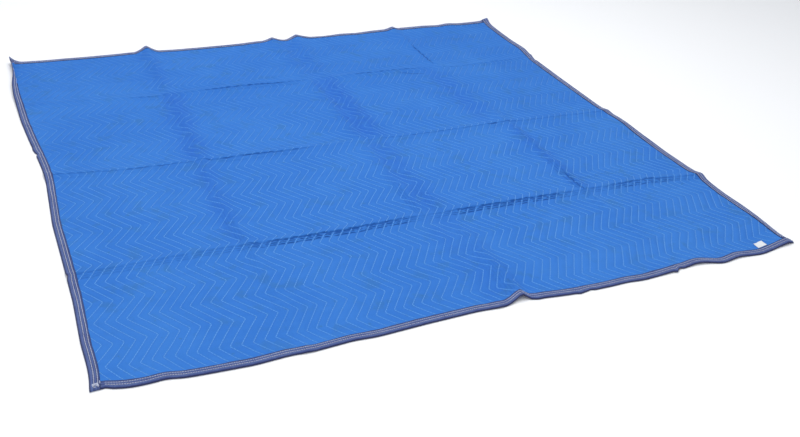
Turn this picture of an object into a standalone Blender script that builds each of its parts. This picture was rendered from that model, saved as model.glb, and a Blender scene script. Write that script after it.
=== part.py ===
"""Quilted moving blanket laid out on a floor, with the creases it was folded along.

The cloth is described on a flat plan of its cut size: X runs along the front edge from left to
right and Y from the front edge to the back edge, both measured from the middle. Two rules then
lay it down. The outline rule moves plan points to where the wavy edges lie, and the lift rule
says how far the underside stands off the floor at the folds, wrinkles, edges and corners.
Everything is in metres.
"""
from collections import namedtuple

import bmesh
import bpy
import numpy as np
from mathutils.geometry import delaunay_2d_cdt

# Cut size and cloth
CUT_WIDTH = 2.030
CUT_DEPTH = 1.830
STITCHED_THICKNESS = 0.0026
PUFF_THICKNESS = 0.0050
MARGIN_THICKNESS = 0.0030

# Edge binding, a tape folded round the cut edge
BINDING_WIDTH = 0.022
TAPE_THICKNESS = 0.0010
TAPE_ROUNDING = 0.0007
FIT_GAP = 0.0003
STATION_SPACING = 0.055
STATION_CLEARANCE = 0.017

# Zigzag quilting, in rows that run from the front edge to the back edge
ZIGZAG_PITCH = 0.02675
ZIGZAG_RUN = 0.0785
ZIGZAG_SWING = 0.0616
ZIGZAG_FIRST_APEX = (-0.944, -0.767)
QUILTING_INSET = 0.013
UNDERSIDE_STEP = 0.007

# Label
LABEL_WIDTH = 0.038
LABEL_DEPTH = 0.020
LABEL_THICKNESS = 0.0010
LABEL_CENTRE_X = 0.906
LABEL_CLEARING = 0.006
LABEL_GAP = 0.0006

# How the lifts join and fade
RIDGE_SHARPNESS = 1.5
JOINING_POWER = 3.0
EDGE_REACH = 0.100
OUTLINE_REACH = 0.300
CLOSEST_POINTS = 0.0065

# Where the edges lie: how far each stands out past the cut size, read along the edge
Edge = namedtuple("Edge", "along out")
LEFT_EDGE = [
    Edge(-0.915, 0.001), Edge(-0.870, -0.005), Edge(-0.830, -0.006), Edge(-0.750, -0.004),
    Edge(-0.590, -0.009), Edge(-0.400, -0.007), Edge(-0.230, -0.004), Edge(0.000, -0.014),
    Edge(0.090, -0.012), Edge(0.160, -0.006), Edge(0.280, 0.006), Edge(0.420, 0.017),
    Edge(0.620, 0.023), Edge(0.700, 0.020), Edge(0.760, 0.011), Edge(0.820, 0.006),
    Edge(0.915, 0.010)]
RIGHT_EDGE = [
    Edge(-0.915, 0.006), Edge(-0.875, -0.004), Edge(-0.830, 0.000), Edge(-0.760, 0.006),
    Edge(-0.700, 0.006), Edge(-0.590, -0.001), Edge(-0.555, 0.002), Edge(-0.510, 0.010),
    Edge(-0.460, 0.001), Edge(-0.350, -0.002), Edge(-0.270, -0.001), Edge(-0.110, 0.006),
    Edge(-0.060, 0.002), Edge(-0.010, -0.008), Edge(0.050, -0.012), Edge(0.250, -0.012),
    Edge(0.490, -0.013), Edge(0.540, -0.004), Edge(0.590, 0.003), Edge(0.700, 0.000),
    Edge(0.790, -0.003), Edge(0.870, -0.003), Edge(0.915, 0.002)]
FRONT_EDGE = [
    Edge(-1.015, 0.002), Edge(-0.990, -0.002), Edge(-0.971, 0.004), Edge(-0.932, 0.013),
    Edge(-0.885, 0.015), Edge(-0.850, 0.011), Edge(-0.815, 0.020), Edge(-0.770, 0.023),
    Edge(-0.650, 0.028), Edge(-0.560, 0.022), Edge(-0.510, 0.026), Edge(-0.400, 0.018),
    Edge(-0.340, 0.022), Edge(-0.200, 0.014), Edge(-0.050, 0.009), Edge(0.020, 0.013),
    Edge(0.055, 0.006), Edge(0.082, -0.001), Edge(0.102, 0.003), Edge(0.115, 0.009),
    Edge(0.140, 0.011), Edge(0.180, 0.016), Edge(0.230, 0.021), Edge(0.350, 0.022),
    Edge(0.405, 0.020), Edge(0.455, 0.025), Edge(0.560, 0.019), Edge(0.610, 0.012),
    Edge(0.655, 0.007), Edge(0.695, 0.014), Edge(0.735, 0.027), Edge(0.800, 0.016),
    Edge(0.880, 0.024), Edge(0.960, 0.009), Edge(1.015, 0.003)]
BACK_EDGE = [
    Edge(-1.015, 0.004), Edge(-0.900, -0.003), Edge(-0.700, -0.003), Edge(-0.519, 0.003),
    Edge(-0.400, -0.006), Edge(-0.200, -0.005), Edge(0.000, 0.003), Edge(0.049, -0.004),
    Edge(0.100, 0.003), Edge(0.540, 0.003), Edge(0.800, 0.001), Edge(1.015, 0.004)]

# How high the underside of an edge stands off the floor, apart from the folds
Rise = namedtuple("Rise", "along height")
BACK_RISE = [
    Rise(-1.015, 0.0), Rise(-0.150, 0.0), Rise(-0.080, 0.003), Rise(0.000, 0.003),
    Rise(0.049, 0.0), Rise(0.100, 0.003), Rise(0.240, 0.0), Rise(0.300, 0.005),
    Rise(0.370, 0.002), Rise(0.440, 0.006), Rise(0.600, 0.009), Rise(0.690, 0.010),
    Rise(0.765, 0.007), Rise(0.810, 0.013), Rise(0.870, 0.007), Rise(0.940, 0.008),
    Rise(1.015, 0.010)]
RIGHT_RISE = [
    Rise(-0.915, 0.0), Rise(-0.640, 0.0), Rise(-0.590, 0.003), Rise(-0.380, 0.002),
    Rise(-0.300, 0.0), Rise(0.520, 0.0), Rise(0.600, 0.005), Rise(0.700, 0.002),
    Rise(0.800, 0.005), Rise(0.915, 0.008)]
FRONT_RISE = [
    Rise(-1.015, 0.0), Rise(0.500, 0.0), Rise(0.570, 0.003), Rise(0.610, 0.0),
    Rise(0.660, 0.005), Rise(0.730, 0.0), Rise(0.800, 0.003), Rise(0.840, 0.0), Rise(1.015, 0.0)]

# How high the left edge is turned up about the inner side of its binding, towards the back
LEFT_TURN_UP = [
    Rise(-0.915, 0.0), Rise(0.360, 0.0), Rise(0.560, 0.006), Rise(0.660, 0.013),
    Rise(0.785, 0.019), Rise(0.857, 0.021), Rise(0.915, 0.016)]

# Corners that curl up: height at the tip, and how far from the tip the curl begins
Curl = namedtuple("Curl", "side_x side_y height reach")
CORNER_CURLS = [Curl(-1, 1, 0.024, 0.055), Curl(1, 1, 0.020, 0.065)]

# Fold creases. A section is read along the fold: where its crest lies across it, how high the
# underside stands there, and how wide the foot is on the side before and after the crest.
Section = namedtuple("Section", "along across height before after")

# Lines that are modelled along a fold, as shares of its foot. The second of two folds that
# share a valley leaves that foot to the first.
ALL_LINES = (-1.0, -0.5, 0.0, 0.5, 1.0)
WITHOUT_FIRST_FOOT = ALL_LINES[1:]
CREST_LINES = (0.0,)
WRINKLE_STOPS = (0.0, 0.25, 0.5, 0.75, 1.0)

Fold = namedtuple("Fold", "name runs lines sections")
FOLDS = [
    Fold("left_lengthwise", "y", ALL_LINES, [
        Section(-0.915, -0.519, 0.002, 0.035, 0.035),
        Section(-0.700, -0.518, 0.004, 0.038, 0.038),
        Section(-0.478, -0.522, 0.008, 0.050, 0.035),
        Section(-0.250, -0.540, 0.010, 0.045, 0.042),
        Section(0.000, -0.530, 0.013, 0.045, 0.045),
        Section(0.250, -0.520, 0.014, 0.050, 0.050),
        Section(0.500, -0.521, 0.012, 0.050, 0.050),
        Section(0.700, -0.523, 0.010, 0.040, 0.040),
        Section(0.915, -0.519, 0.023, 0.048, 0.046)]),
    Fold("middle_left_lengthwise", "y", ALL_LINES, [
        Section(-0.915, 0.010, 0.002, 0.045, 0.020),
        Section(-0.700, 0.014, 0.003, 0.045, 0.030),
        Section(-0.478, 0.016, 0.005, 0.045, 0.034),
        Section(-0.250, 0.010, 0.010, 0.045, 0.036),
        Section(0.000, 0.012, 0.010, 0.045, 0.036),
        Section(0.250, 0.014, 0.010, 0.045, 0.036),
        Section(0.505, 0.010, 0.007, 0.045, 0.038),
        Section(0.700, 0.004, 0.009, 0.045, 0.042),
        Section(0.915, -0.004, 0.014, 0.050, 0.050)]),
    Fold("middle_right_lengthwise", "y", WITHOUT_FIRST_FOOT, [
        Section(-0.915, 0.084, 0.014, 0.056, 0.026),
        Section(-0.800, 0.090, 0.011, 0.050, 0.030),
        Section(-0.478, 0.084, 0.005, 0.034, 0.038),
        Section(-0.250, 0.081, 0.006, 0.036, 0.040),
        Section(0.000, 0.084, 0.008, 0.036, 0.045),
        Section(0.250, 0.086, 0.010, 0.036, 0.050),
        Section(0.505, 0.086, 0.008, 0.038, 0.045),
        Section(0.700, 0.088, 0.010, 0.042, 0.045),
        Section(0.915, 0.100, 0.018, 0.052, 0.075)]),
    Fold("right_lengthwise", "y", ALL_LINES, [
        Section(-0.915, 0.583, 0.002, 0.035, 0.030),
        Section(-0.700, 0.582, 0.003, 0.035, 0.030),
        Section(-0.482, 0.580, 0.009, 0.040, 0.030),
        Section(-0.250, 0.577, 0.012, 0.042, 0.032),
        Section(0.000, 0.573, 0.012, 0.045, 0.035),
        Section(0.250, 0.562, 0.006, 0.060, 0.035),
        Section(0.500, 0.572, 0.008, 0.045, 0.035),
        Section(0.700, 0.556, 0.007, 0.040, 0.035),
        Section(0.915, 0.542, 0.017, 0.060, 0.040)]),
    Fold("front_crosswise", "x", ALL_LINES, [
        Section(-1.015, -0.482, 0.006, 0.035, 0.030),
        Section(-0.800, -0.478, 0.007, 0.038, 0.030),
        Section(-0.580, -0.474, 0.006, 0.040, 0.030),
        Section(-0.400, -0.484, 0.010, 0.062, 0.032),
        Section(-0.200, -0.486, 0.010, 0.060, 0.032),
        Section(-0.040, -0.478, 0.008, 0.045, 0.030),
        Section(0.050, -0.477, 0.004, 0.040, 0.030),
        Section(0.150, -0.479, 0.009, 0.050, 0.030),
        Section(0.300, -0.483, 0.010, 0.062, 0.032),
        Section(0.450, -0.483, 0.009, 0.055, 0.030),
        Section(0.600, -0.484, 0.006, 0.040, 0.030),
        Section(0.800, -0.486, 0.011, 0.055, 0.030),
        Section(1.015, -0.512, 0.008, 0.045, 0.035)]),
    Fold("middle_crosswise", "x", ALL_LINES, [
        Section(-1.015, 0.041, 0.007, 0.035, 0.035),
        Section(-0.780, 0.014, 0.007, 0.038, 0.035),
        Section(-0.530, 0.006, 0.006, 0.035, 0.035),
        Section(-0.350, 0.003, 0.009, 0.042, 0.040),
        Section(-0.100, 0.000, 0.005, 0.035, 0.035),
        Section(0.100, 0.000, 0.005, 0.035, 0.035),
        Section(0.350, 0.000, 0.004, 0.032, 0.032),
        Section(0.540, 0.000, 0.010, 0.040, 0.035),
        Section(0.650, -0.002, 0.005, 0.032, 0.032),
        Section(1.015, -0.014, 0.006, 0.035, 0.035)]),
    Fold("back_crosswise", "x", ALL_LINES, [
        Section(-1.015, 0.534, 0.002, 0.035, 0.035),
        Section(-0.780, 0.528, 0.003, 0.035, 0.035),
        Section(-0.590, 0.498, 0.007, 0.042, 0.035),
        Section(-0.400, 0.507, 0.008, 0.042, 0.035),
        Section(-0.250, 0.505, 0.013, 0.055, 0.038),
        Section(-0.080, 0.505, 0.008, 0.040, 0.035),
        Section(0.040, 0.512, 0.003, 0.032, 0.032),
        Section(0.240, 0.505, 0.012, 0.052, 0.038),
        Section(0.400, 0.505, 0.012, 0.052, 0.038),
        Section(0.520, 0.510, 0.004, 0.035, 0.035),
        Section(0.620, 0.494, 0.004, 0.035, 0.035),
        Section(0.800, 0.500, 0.006, 0.040, 0.040),
        Section(1.015, 0.522, 0.002, 0.040, 0.040)])]

# Short wrinkles that cross a panel between folds
Wrinkle = namedtuple("Wrinkle", "from_x from_y to_x to_y height foot")
WRINKLES = [Wrinkle(0.140, 0.120, 0.360, 0.275, 0.007, 0.045)]

SHARP_ANGLE_DEG = 35
HALF_WIDTH = CUT_WIDTH / 2
HALF_DEPTH = CUT_DEPTH / 2
MARGIN_BOTTOM = TAPE_THICKNESS + FIT_GAP
MARGIN_TOP = MARGIN_BOTTOM + MARGIN_THICKNESS

# Section of the folded tape: distance in from the cut edge, and height over the lift
TAPE_INSIDE = MARGIN_TOP + FIT_GAP
TAPE_SECTION = [
    (-FIT_GAP - TAPE_THICKNESS + TAPE_ROUNDING, 0.0),
    (BINDING_WIDTH, 0.0),
    (BINDING_WIDTH, TAPE_THICKNESS),
    (-FIT_GAP, TAPE_THICKNESS),
    (-FIT_GAP, TAPE_INSIDE),
    (BINDING_WIDTH, TAPE_INSIDE),
    (BINDING_WIDTH, TAPE_INSIDE + TAPE_THICKNESS),
    (-FIT_GAP - TAPE_THICKNESS + TAPE_ROUNDING, TAPE_INSIDE + TAPE_THICKNESS),
    (-FIT_GAP - TAPE_THICKNESS, TAPE_INSIDE),
    (-FIT_GAP - TAPE_THICKNESS, TAPE_THICKNESS)]

COLOURS = {
    "quilted_panel": (0.055, 0.215, 0.700, 1.0),
    "binding": (0.060, 0.070, 0.210, 1.0),
    "label": (0.830, 0.830, 0.840, 1.0)}
ROUGHNESS = {"quilted_panel": 0.92, "binding": 0.85, "label": 0.70}


def read_column(rows, column, along):
    """Value of one column of a table at the given places along it, straight between rows."""
    places = [row.along for row in rows]
    values = [getattr(row, column) for row in rows]
    return np.interp(along, places, values)


def lay_outline(x, y):
    """Plan place of cut-size points: each edge pulls its neighbourhood in or out with it."""
    def share(distance):
        t = np.clip(1 - distance / OUTLINE_REACH, 0, 1)
        return t * t * (3 - 2 * t)
    left = read_column(LEFT_EDGE, "out", y) * share(x + HALF_WIDTH)
    right = read_column(RIGHT_EDGE, "out", y) * share(HALF_WIDTH - x)
    front = read_column(FRONT_EDGE, "out", x) * share(y + HALF_DEPTH)
    back = read_column(BACK_EDGE, "out", x) * share(HALF_DEPTH - y)
    return x - left + right, y - front + back


def ridge(height, t):
    """Height of a crease at t, the distance from its crest as a share of its foot."""
    return height * np.clip(1 - t, 0, 1) ** RIDGE_SHARPNESS


def fold_lift(fold, x, y):
    """Lift of one fold, from the distance to its crest and the foot on that side."""
    along, across = (y, x) if fold.runs == "y" else (x, y)
    offset = across - read_column(fold.sections, "across", along)
    before = read_column(fold.sections, "before", along)
    after = read_column(fold.sections, "after", along)
    foot = np.where(offset < 0, before, after)
    return ridge(read_column(fold.sections, "height", along), np.abs(offset) / foot)


def wrinkle_lift(wrinkle, x, y):
    """Lift of a short wrinkle, a ridge along a straight line that dies away at both ends."""
    run = np.array([wrinkle.to_x - wrinkle.from_x, wrinkle.to_y - wrinkle.from_y])
    length = np.hypot(*run)
    from_start = ((x - wrinkle.from_x) * run[0] + (y - wrinkle.from_y) * run[1]) / length
    across = ((y - wrinkle.from_y) * run[0] - (x - wrinkle.from_x) * run[1]) / length
    fading = np.clip(1 - (2 * from_start / length - 1) ** 2, 0, 1)
    return ridge(wrinkle.height * fading, np.abs(across) / wrinkle.foot)


def lift(x, y):
    """Height of the underside above the floor: the folds, edges and corners joined softly."""
    def rise(rows, along, from_edge):
        return read_column(rows, "height", along) * np.clip(1 - from_edge / EDGE_REACH, 0, 1)
    parts = [rise(RIGHT_RISE, y, HALF_WIDTH - x), rise(FRONT_RISE, x, y + HALF_DEPTH),
             rise(BACK_RISE, x, HALF_DEPTH - y)]
    turned = np.clip(1 - (x + HALF_WIDTH) / BINDING_WIDTH, 0, 1)
    parts.append(read_column(LEFT_TURN_UP, "height", y) * turned)
    parts += [fold_lift(fold, x, y) for fold in FOLDS]
    parts += [wrinkle_lift(wrinkle, x, y) for wrinkle in WRINKLES]
    for curl in CORNER_CURLS:
        from_tip = (HALF_WIDTH - curl.side_x * x) + (HALF_DEPTH - curl.side_y * y)
        parts.append(ridge(curl.height, np.clip(from_tip / curl.reach, 0, 1)))
    return sum(part ** JOINING_POWER for part in parts) ** (1 / JOINING_POWER)


def zigzag_offset(y):
    """Sideways place of a zigzag row at y: none at its first apex, and a swing to the left at
    the bends next to it."""
    waves = (y - ZIGZAG_FIRST_APEX[1]) / (2 * ZIGZAG_RUN)
    return -2 * ZIGZAG_SWING * np.abs((waves + 0.5) % 1 - 0.5)


def near_label(x, y):
    """True where the cloth is flattened under the label, its clearing line included."""
    around = LABEL_CLEARING + CLOSEST_POINTS
    aside = np.abs(x - LABEL_CENTRE_X) <= LABEL_WIDTH / 2 + around
    return aside & (y <= -HALF_DEPTH + BINDING_WIDTH + LABEL_DEPTH + LABEL_GAP + around)


def plain_underside(x, _y):
    """Height of the underside over its lift, which is none anywhere in the field."""
    return np.zeros_like(x)


def quilted_thickness(x, y):
    """Thickness of the field: thin along the stitched rows, full in the puffs between them."""
    between = ((x - ZIGZAG_FIRST_APEX[0] - zigzag_offset(y)) / ZIGZAG_PITCH) % 1
    puff = 1 - (2 * between - 1) ** 2
    thickness = STITCHED_THICKNESS + (PUFF_THICKNESS - STITCHED_THICKNESS) * puff
    return np.where(near_label(x, y), MARGIN_TOP, thickness)


# The four sides. Each starts at the corner that its binding covers: its start, the way it runs,
# the way in from its edge, and which way the folds that meet it run.
Side = namedtuple("Side", "name start run inward length folds_run")
SIDES = [
    Side("left", (-HALF_WIDTH, -HALF_DEPTH), (0, 1), (1, 0), CUT_DEPTH, "x"),
    Side("back", (-HALF_WIDTH, HALF_DEPTH), (1, 0), (0, -1), CUT_WIDTH, "y"),
    Side("right", (HALF_WIDTH, HALF_DEPTH), (0, -1), (-1, 0), CUT_DEPTH, "x"),
    Side("front", (HALF_WIDTH, -HALF_DEPTH), (-1, 0), (0, 1), CUT_WIDTH, "y")]


def side_point(side, along, inward):
    """Plan point of a side, from the distance along it and the distance in from its edge."""
    x = side.start[0] + side.run[0] * along + side.inward[0] * inward
    y = side.start[1] + side.run[1] * along + side.inward[1] * inward
    return x, y


def side_stations(side):
    """Distances along a side where its sections lie: at the lines of each fold that meets it,
    and evenly between them, from one corner square to the next."""
    first, last = BINDING_WIDTH, side.length - BINDING_WIDTH
    edge, axis = (0, 1) if side.folds_run == "x" else (1, 0)
    marks = []
    for fold in FOLDS:
        if fold.runs == side.folds_run:
            section = fold.sections[0] if side.start[edge] < 0 else fold.sections[-1]
            for share in fold.lines:
                foot = section.before if share < 0 else section.after
                marks.append((section.across + share * foot - side.start[axis]) * side.run[axis])
    even = np.linspace(first, last, round((last - first) / STATION_SPACING) + 1)
    between = [place for place in even[1:-1]
               if all(abs(place - mark) > STATION_CLEARANCE for mark in marks)]
    return [first] + sorted(marks + between) + [last]


def surface_point(x, y, above):
    """Laid point of a plan point, a given height above the underside's lift."""
    laid_x, laid_y = lay_outline(x, y)
    return float(laid_x), float(laid_y), float(lift(x, y) + above)


def fold_lines(kept=ALL_LINES):
    """Lines along each fold and wrinkle, from margin to margin, at the kept shares of its foot."""
    lines = []
    for fold in FOLDS:
        half_length = HALF_DEPTH if fold.runs == "y" else HALF_WIDTH
        for share in fold.lines:
            if share not in kept:
                continue
            line = []
            for section in fold.sections:
                foot = section.before if share < 0 else section.after
                across = section.across + share * foot
                limit = half_length - BINDING_WIDTH
                along = min(max(section.along, -limit), limit)
                line.append((across, along) if fold.runs == "y" else (along, across))
            lines.append(line)
    for wrinkle in WRINKLES:
        start = np.array([wrinkle.from_x, wrinkle.from_y])
        run = np.array([wrinkle.to_x, wrinkle.to_y]) - start
        aside = np.array([-run[1], run[0]]) / np.hypot(*run) * wrinkle.foot
        lines += [[tuple(start + run * stop + aside * share) for stop in WRINKLE_STOPS]
                  for share in kept]
    return lines


def reach_lines():
    """Lines where the rise of the right, front and back edges has died away."""
    x, y = HALF_WIDTH - EDGE_REACH, HALF_DEPTH - EDGE_REACH
    end_x = HALF_WIDTH - BINDING_WIDTH - QUILTING_INSET
    end_y = HALF_DEPTH - BINDING_WIDTH - QUILTING_INSET
    return [[(x, -end_y), (x, end_y)], [(-end_x, -y), (end_x, -y)], [(-end_x, y), (end_x, y)]]


def underside_step_line(stations):
    """Line inside the margin where the underside comes down to the floor."""
    limit_x = HALF_WIDTH - BINDING_WIDTH - UNDERSIDE_STEP
    limit_y = HALF_DEPTH - BINDING_WIDTH - UNDERSIDE_STEP
    line = []
    for side, places in zip(SIDES, stations):
        for place in places:
            x, y = side_point(side, place, BINDING_WIDTH + UNDERSIDE_STEP)
            line.append((min(max(x, -limit_x), limit_x), min(max(y, -limit_y), limit_y)))
    return line + line[:1]


def zigzag_lines():
    """Stitched rows and the puff crests between them, cut off short of the bound margin."""
    limit_x = HALF_WIDTH - BINDING_WIDTH - QUILTING_INSET
    limit_y = HALF_DEPTH - BINDING_WIDTH - QUILTING_INSET
    first = int(np.ceil((-limit_y - ZIGZAG_FIRST_APEX[1]) / ZIGZAG_RUN))
    last = int(np.floor((limit_y - ZIGZAG_FIRST_APEX[1]) / ZIGZAG_RUN))
    bends = [ZIGZAG_FIRST_APEX[1] + ZIGZAG_RUN * count for count in range(first, last + 1)]
    levels = [-limit_y] + bends + [limit_y]
    half_pitch = ZIGZAG_PITCH / 2
    leftmost = int((-HALF_WIDTH - ZIGZAG_FIRST_APEX[0]) / half_pitch)
    rightmost = int((HALF_WIDTH + ZIGZAG_SWING - ZIGZAG_FIRST_APEX[0]) / half_pitch)
    lines = []
    for number in range(leftmost, rightmost + 1):
        apex_x = ZIGZAG_FIRST_APEX[0] + half_pitch * number
        points = [(apex_x + float(zigzag_offset(level)), level) for level in levels]
        for low, high in zip(points, points[1:]):
            clipped = clip_to_sides(low, high, limit_x)
            if clipped:
                lines.append(clipped)
    return lines


def clip_to_sides(low, high, limit_x):
    """The stretch of a segment between the left and right limits, or None."""
    if max(low[0], high[0]) <= -limit_x or min(low[0], high[0]) >= limit_x:
        return None
    ends = []
    for point, other in ((low, high), (high, low)):
        x = min(max(point[0], -limit_x), limit_x)
        share = 0.0 if point[0] == other[0] else (x - point[0]) / (other[0] - point[0])
        ends.append((x, point[1] + share * (other[1] - point[1])))
    return ends


def label_clearing_line():
    """Outline of the cloth that lies flat under the label."""
    left = LABEL_CENTRE_X - LABEL_WIDTH / 2 - LABEL_CLEARING
    right = LABEL_CENTRE_X + LABEL_WIDTH / 2 + LABEL_CLEARING
    near = -HALF_DEPTH + BINDING_WIDTH + QUILTING_INSET / 2
    far = -HALF_DEPTH + BINDING_WIDTH + LABEL_DEPTH + LABEL_GAP + LABEL_CLEARING
    return [(left, near), (right, near), (right, far), (left, far), (left, near)]


def triangulate(ring, lines):
    """Triangles of the rectangle inside a ring of plan points, with every line as edges.

    The places of the ring's own points come back too, so that the margin can join on to them.
    """
    points = list(ring)
    edges = [(number, (number + 1) % len(ring)) for number in range(len(ring))]
    for line in lines:
        first = len(points)
        points += line
        edges += [(first + number, first + number + 1) for number in range(len(line) - 1)]
    verts, _, faces, origins, _, _ = delaunay_2d_cdt(points, edges, [], 0, CLOSEST_POINTS)
    place_of = {}
    for place, sources in enumerate(origins):
        for source in sources:
            place_of[source] = place
    return np.array([tuple(vert) for vert in verts]), faces, [place_of[n] for n in range(len(ring))]


def band_faces(outer, inner):
    """Triangles between two rows of points, cut from each outer point to the next inner one."""
    faces = []
    for number in range(len(outer) - 1):
        faces.append((outer[number], outer[number + 1], inner[number + 1]))
        faces.append((outer[number], inner[number + 1], inner[number]))
    return faces


def finish_mesh(name, points, faces, material):
    """Closed mesh object from points and faces, cut into triangles that point out."""
    mesh = bpy.data.meshes.new(name)
    mesh.from_pydata([tuple(point) for point in points], [], faces)
    shaped = bmesh.new()
    shaped.from_mesh(mesh)
    bmesh.ops.triangulate(shaped, faces=shaped.faces)
    bmesh.ops.recalc_face_normals(shaped, faces=shaped.faces)
    shaped.to_mesh(mesh)
    shaped.free()
    mesh.materials.append(material)
    mesh.shade_smooth()
    mesh.set_sharp_from_angle(angle=np.radians(SHARP_ANGLE_DEG))
    return bpy.data.objects.new(name, mesh)


def build_panel(material):
    """Quilted panel: a bound margin round a quilted field, over a plainer underside."""
    points = []
    faces = []

    def add(x, y, above):
        points.append(surface_point(x, y, above))
        return len(points) - 1

    stations = [side_stations(side) for side in SIDES]
    ring = []
    for side, places in zip(SIDES, stations):
        ring += [side_point(side, place, BINDING_WIDTH) for place in places[:-1]]

    # Two rings of the margin, each with its corners, for the upper and the lower face
    rims = {}
    for level, above in (("top", MARGIN_TOP), ("bottom", MARGIN_BOTTOM)):
        rims[level] = []
        for side, places in zip(SIDES, stations):
            row = [add(*side_point(side, place, 0.0), above) for place in [0.0] + places]
            rims[level].append(row)

    def add_field(lines, height, rim_rows, above_ring):
        verts, field_faces, ring_places = triangulate(ring, lines)
        first = len(points)
        on_ring = set(ring_places)
        laid_x, laid_y = lay_outline(verts[:, 0], verts[:, 1])
        raised = lift(verts[:, 0], verts[:, 1])
        above = height(verts[:, 0], verts[:, 1])
        for number in range(len(verts)):
            up = above_ring if number in on_ring else above[number]
            points.append((laid_x[number], laid_y[number], raised[number] + up))
        faces.extend(tuple(first + corner for corner in face) for face in field_faces)
        ring_row = [first + place for place in ring_places]
        start = 0
        for number, places in enumerate(stations):
            count = len(places) - 1
            inner = [ring_row[(start + step) % len(ring_row)] for step in range(count + 1)]
            outer = rim_rows[number]
            faces.extend(band_faces(outer[1:], inner))
            before = rim_rows[number - 1][-1]
            faces.append((outer[0], outer[1], inner[0]))
            faces.append((outer[0], inner[0], before))
            start += count

    # The close rows of puffs already cut up the slopes of the upper face, so it takes the crests
    upper_lines = zigzag_lines() + fold_lines(kept=CREST_LINES)
    add_field(upper_lines + [label_clearing_line()], quilted_thickness, rims["top"], MARGIN_TOP)
    lower_lines = fold_lines() + reach_lines() + [underside_step_line(stations)]
    add_field(lower_lines, plain_underside, rims["bottom"], MARGIN_BOTTOM)

    # The cut edge between the two rims, each side as far as the next one's corner
    for number in range(len(SIDES)):
        following = (number + 1) % len(SIDES)
        top = rims["top"][number] + rims["top"][following][:1]
        bottom = rims["bottom"][number] + rims["bottom"][following][:1]
        faces.extend(band_faces(top, bottom))
    return finish_mesh("quilted_panel", points, faces, material)


def binding_section(side, along):
    """Section of a folded tape at a place along its side.

    The tape's height follows the lift at the edge and at its inner side, in a straight line, so
    that it stays parallel to the margin it is folded round.
    """
    inside = max(along, 0.0)
    at_edge = float(lift(*side_point(side, inside, 0.0)))
    at_inner = float(lift(*side_point(side, inside, BINDING_WIDTH)))
    section = []
    for inward, above in TAPE_SECTION:
        x, y = side_point(side, along, inward)
        laid_x, laid_y = lay_outline(x, y)
        raised = at_edge + (at_inner - at_edge) * inward / BINDING_WIDTH
        section.append((float(laid_x), float(laid_y), max(raised, 0.0) + above))
    return section


def build_binding(side, material):
    """One length of tape, from past the corner it covers to the tape it butts against."""
    places = [-FIT_GAP - TAPE_THICKNESS, 0.0] + side_stations(side)
    places[-1] -= FIT_GAP
    sections = [binding_section(side, place) for place in places]
    size = len(TAPE_SECTION)
    points = [point for section in sections for point in section]
    faces = []
    for number in range(len(sections) - 1):
        here = [number * size + corner for corner in range(size)]
        ahead = [(number + 1) * size + corner for corner in range(size)]
        for corner in range(size):
            # Each strip is cut from its outer side here to its inner side ahead, as the margin is
            outer, inner = sorted((corner, (corner + 1) % size), key=lambda n: TAPE_SECTION[n][0])
            faces.append((here[outer], ahead[outer], ahead[inner]))
            faces.append((here[outer], ahead[inner], here[inner]))
    faces.append(tuple(range(size)))
    faces.append(tuple(range(len(points) - size, len(points))))
    return finish_mesh("binding_" + side.name, points, faces, material)


def build_label(material):
    """Bare tag that lies on the panel, just inside the front binding and in line with it."""
    near = -HALF_DEPTH + BINDING_WIDTH + LABEL_GAP
    bpy.ops.mesh.primitive_cube_add(size=1)
    label = bpy.context.object
    label.name = label.data.name = "label"
    centre_y = near + LABEL_DEPTH / 2
    centre_z = MARGIN_TOP + FIT_GAP + LABEL_THICKNESS / 2
    for vert in label.data.vertices:
        x = LABEL_CENTRE_X + vert.co.x * LABEL_WIDTH
        y = centre_y + vert.co.y * LABEL_DEPTH
        vert.co.x, vert.co.y = lay_outline(x, y)
        vert.co.z = centre_z + vert.co.z * LABEL_THICKNESS
    label.data.materials.append(material)
    return label


def cloth_material(name):
    """Principled material with the piece's colour and roughness."""
    material = bpy.data.materials.new(name)
    material.use_nodes = True
    shader = material.node_tree.nodes["Principled BSDF"]
    shader.inputs["Base Color"].default_value = COLOURS[name]
    shader.inputs["Roughness"].default_value = ROUGHNESS[name]
    shader.inputs["Metallic"].default_value = 0.0
    return material


def centre_on_floor(pieces):
    """Move the meshes so that the middle of the whole box stands over the origin."""
    corners = np.array([vert.co for piece in pieces for vert in piece.data.vertices])
    middle = (corners.min(axis=0) + corners.max(axis=0)) / 2
    for piece in pieces:
        for vert in piece.data.vertices:
            vert.co.x -= middle[0]
            vert.co.y -= middle[1]


def main():
    for leftover in list(bpy.data.objects):
        bpy.data.objects.remove(leftover)
    blanket = bpy.data.collections.new("moving_blanket")
    bpy.context.scene.collection.children.link(blanket)

    pieces = [build_panel(cloth_material("quilted_panel"))]
    tape = cloth_material("binding")
    pieces += [build_binding(side, tape) for side in SIDES]
    label = build_label(cloth_material("label"))
    for holder in list(label.users_collection):
        holder.objects.unlink(label)
    pieces.append(label)
    for piece in pieces:
        blanket.objects.link(piece)
    centre_on_floor(pieces)


main()
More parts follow.
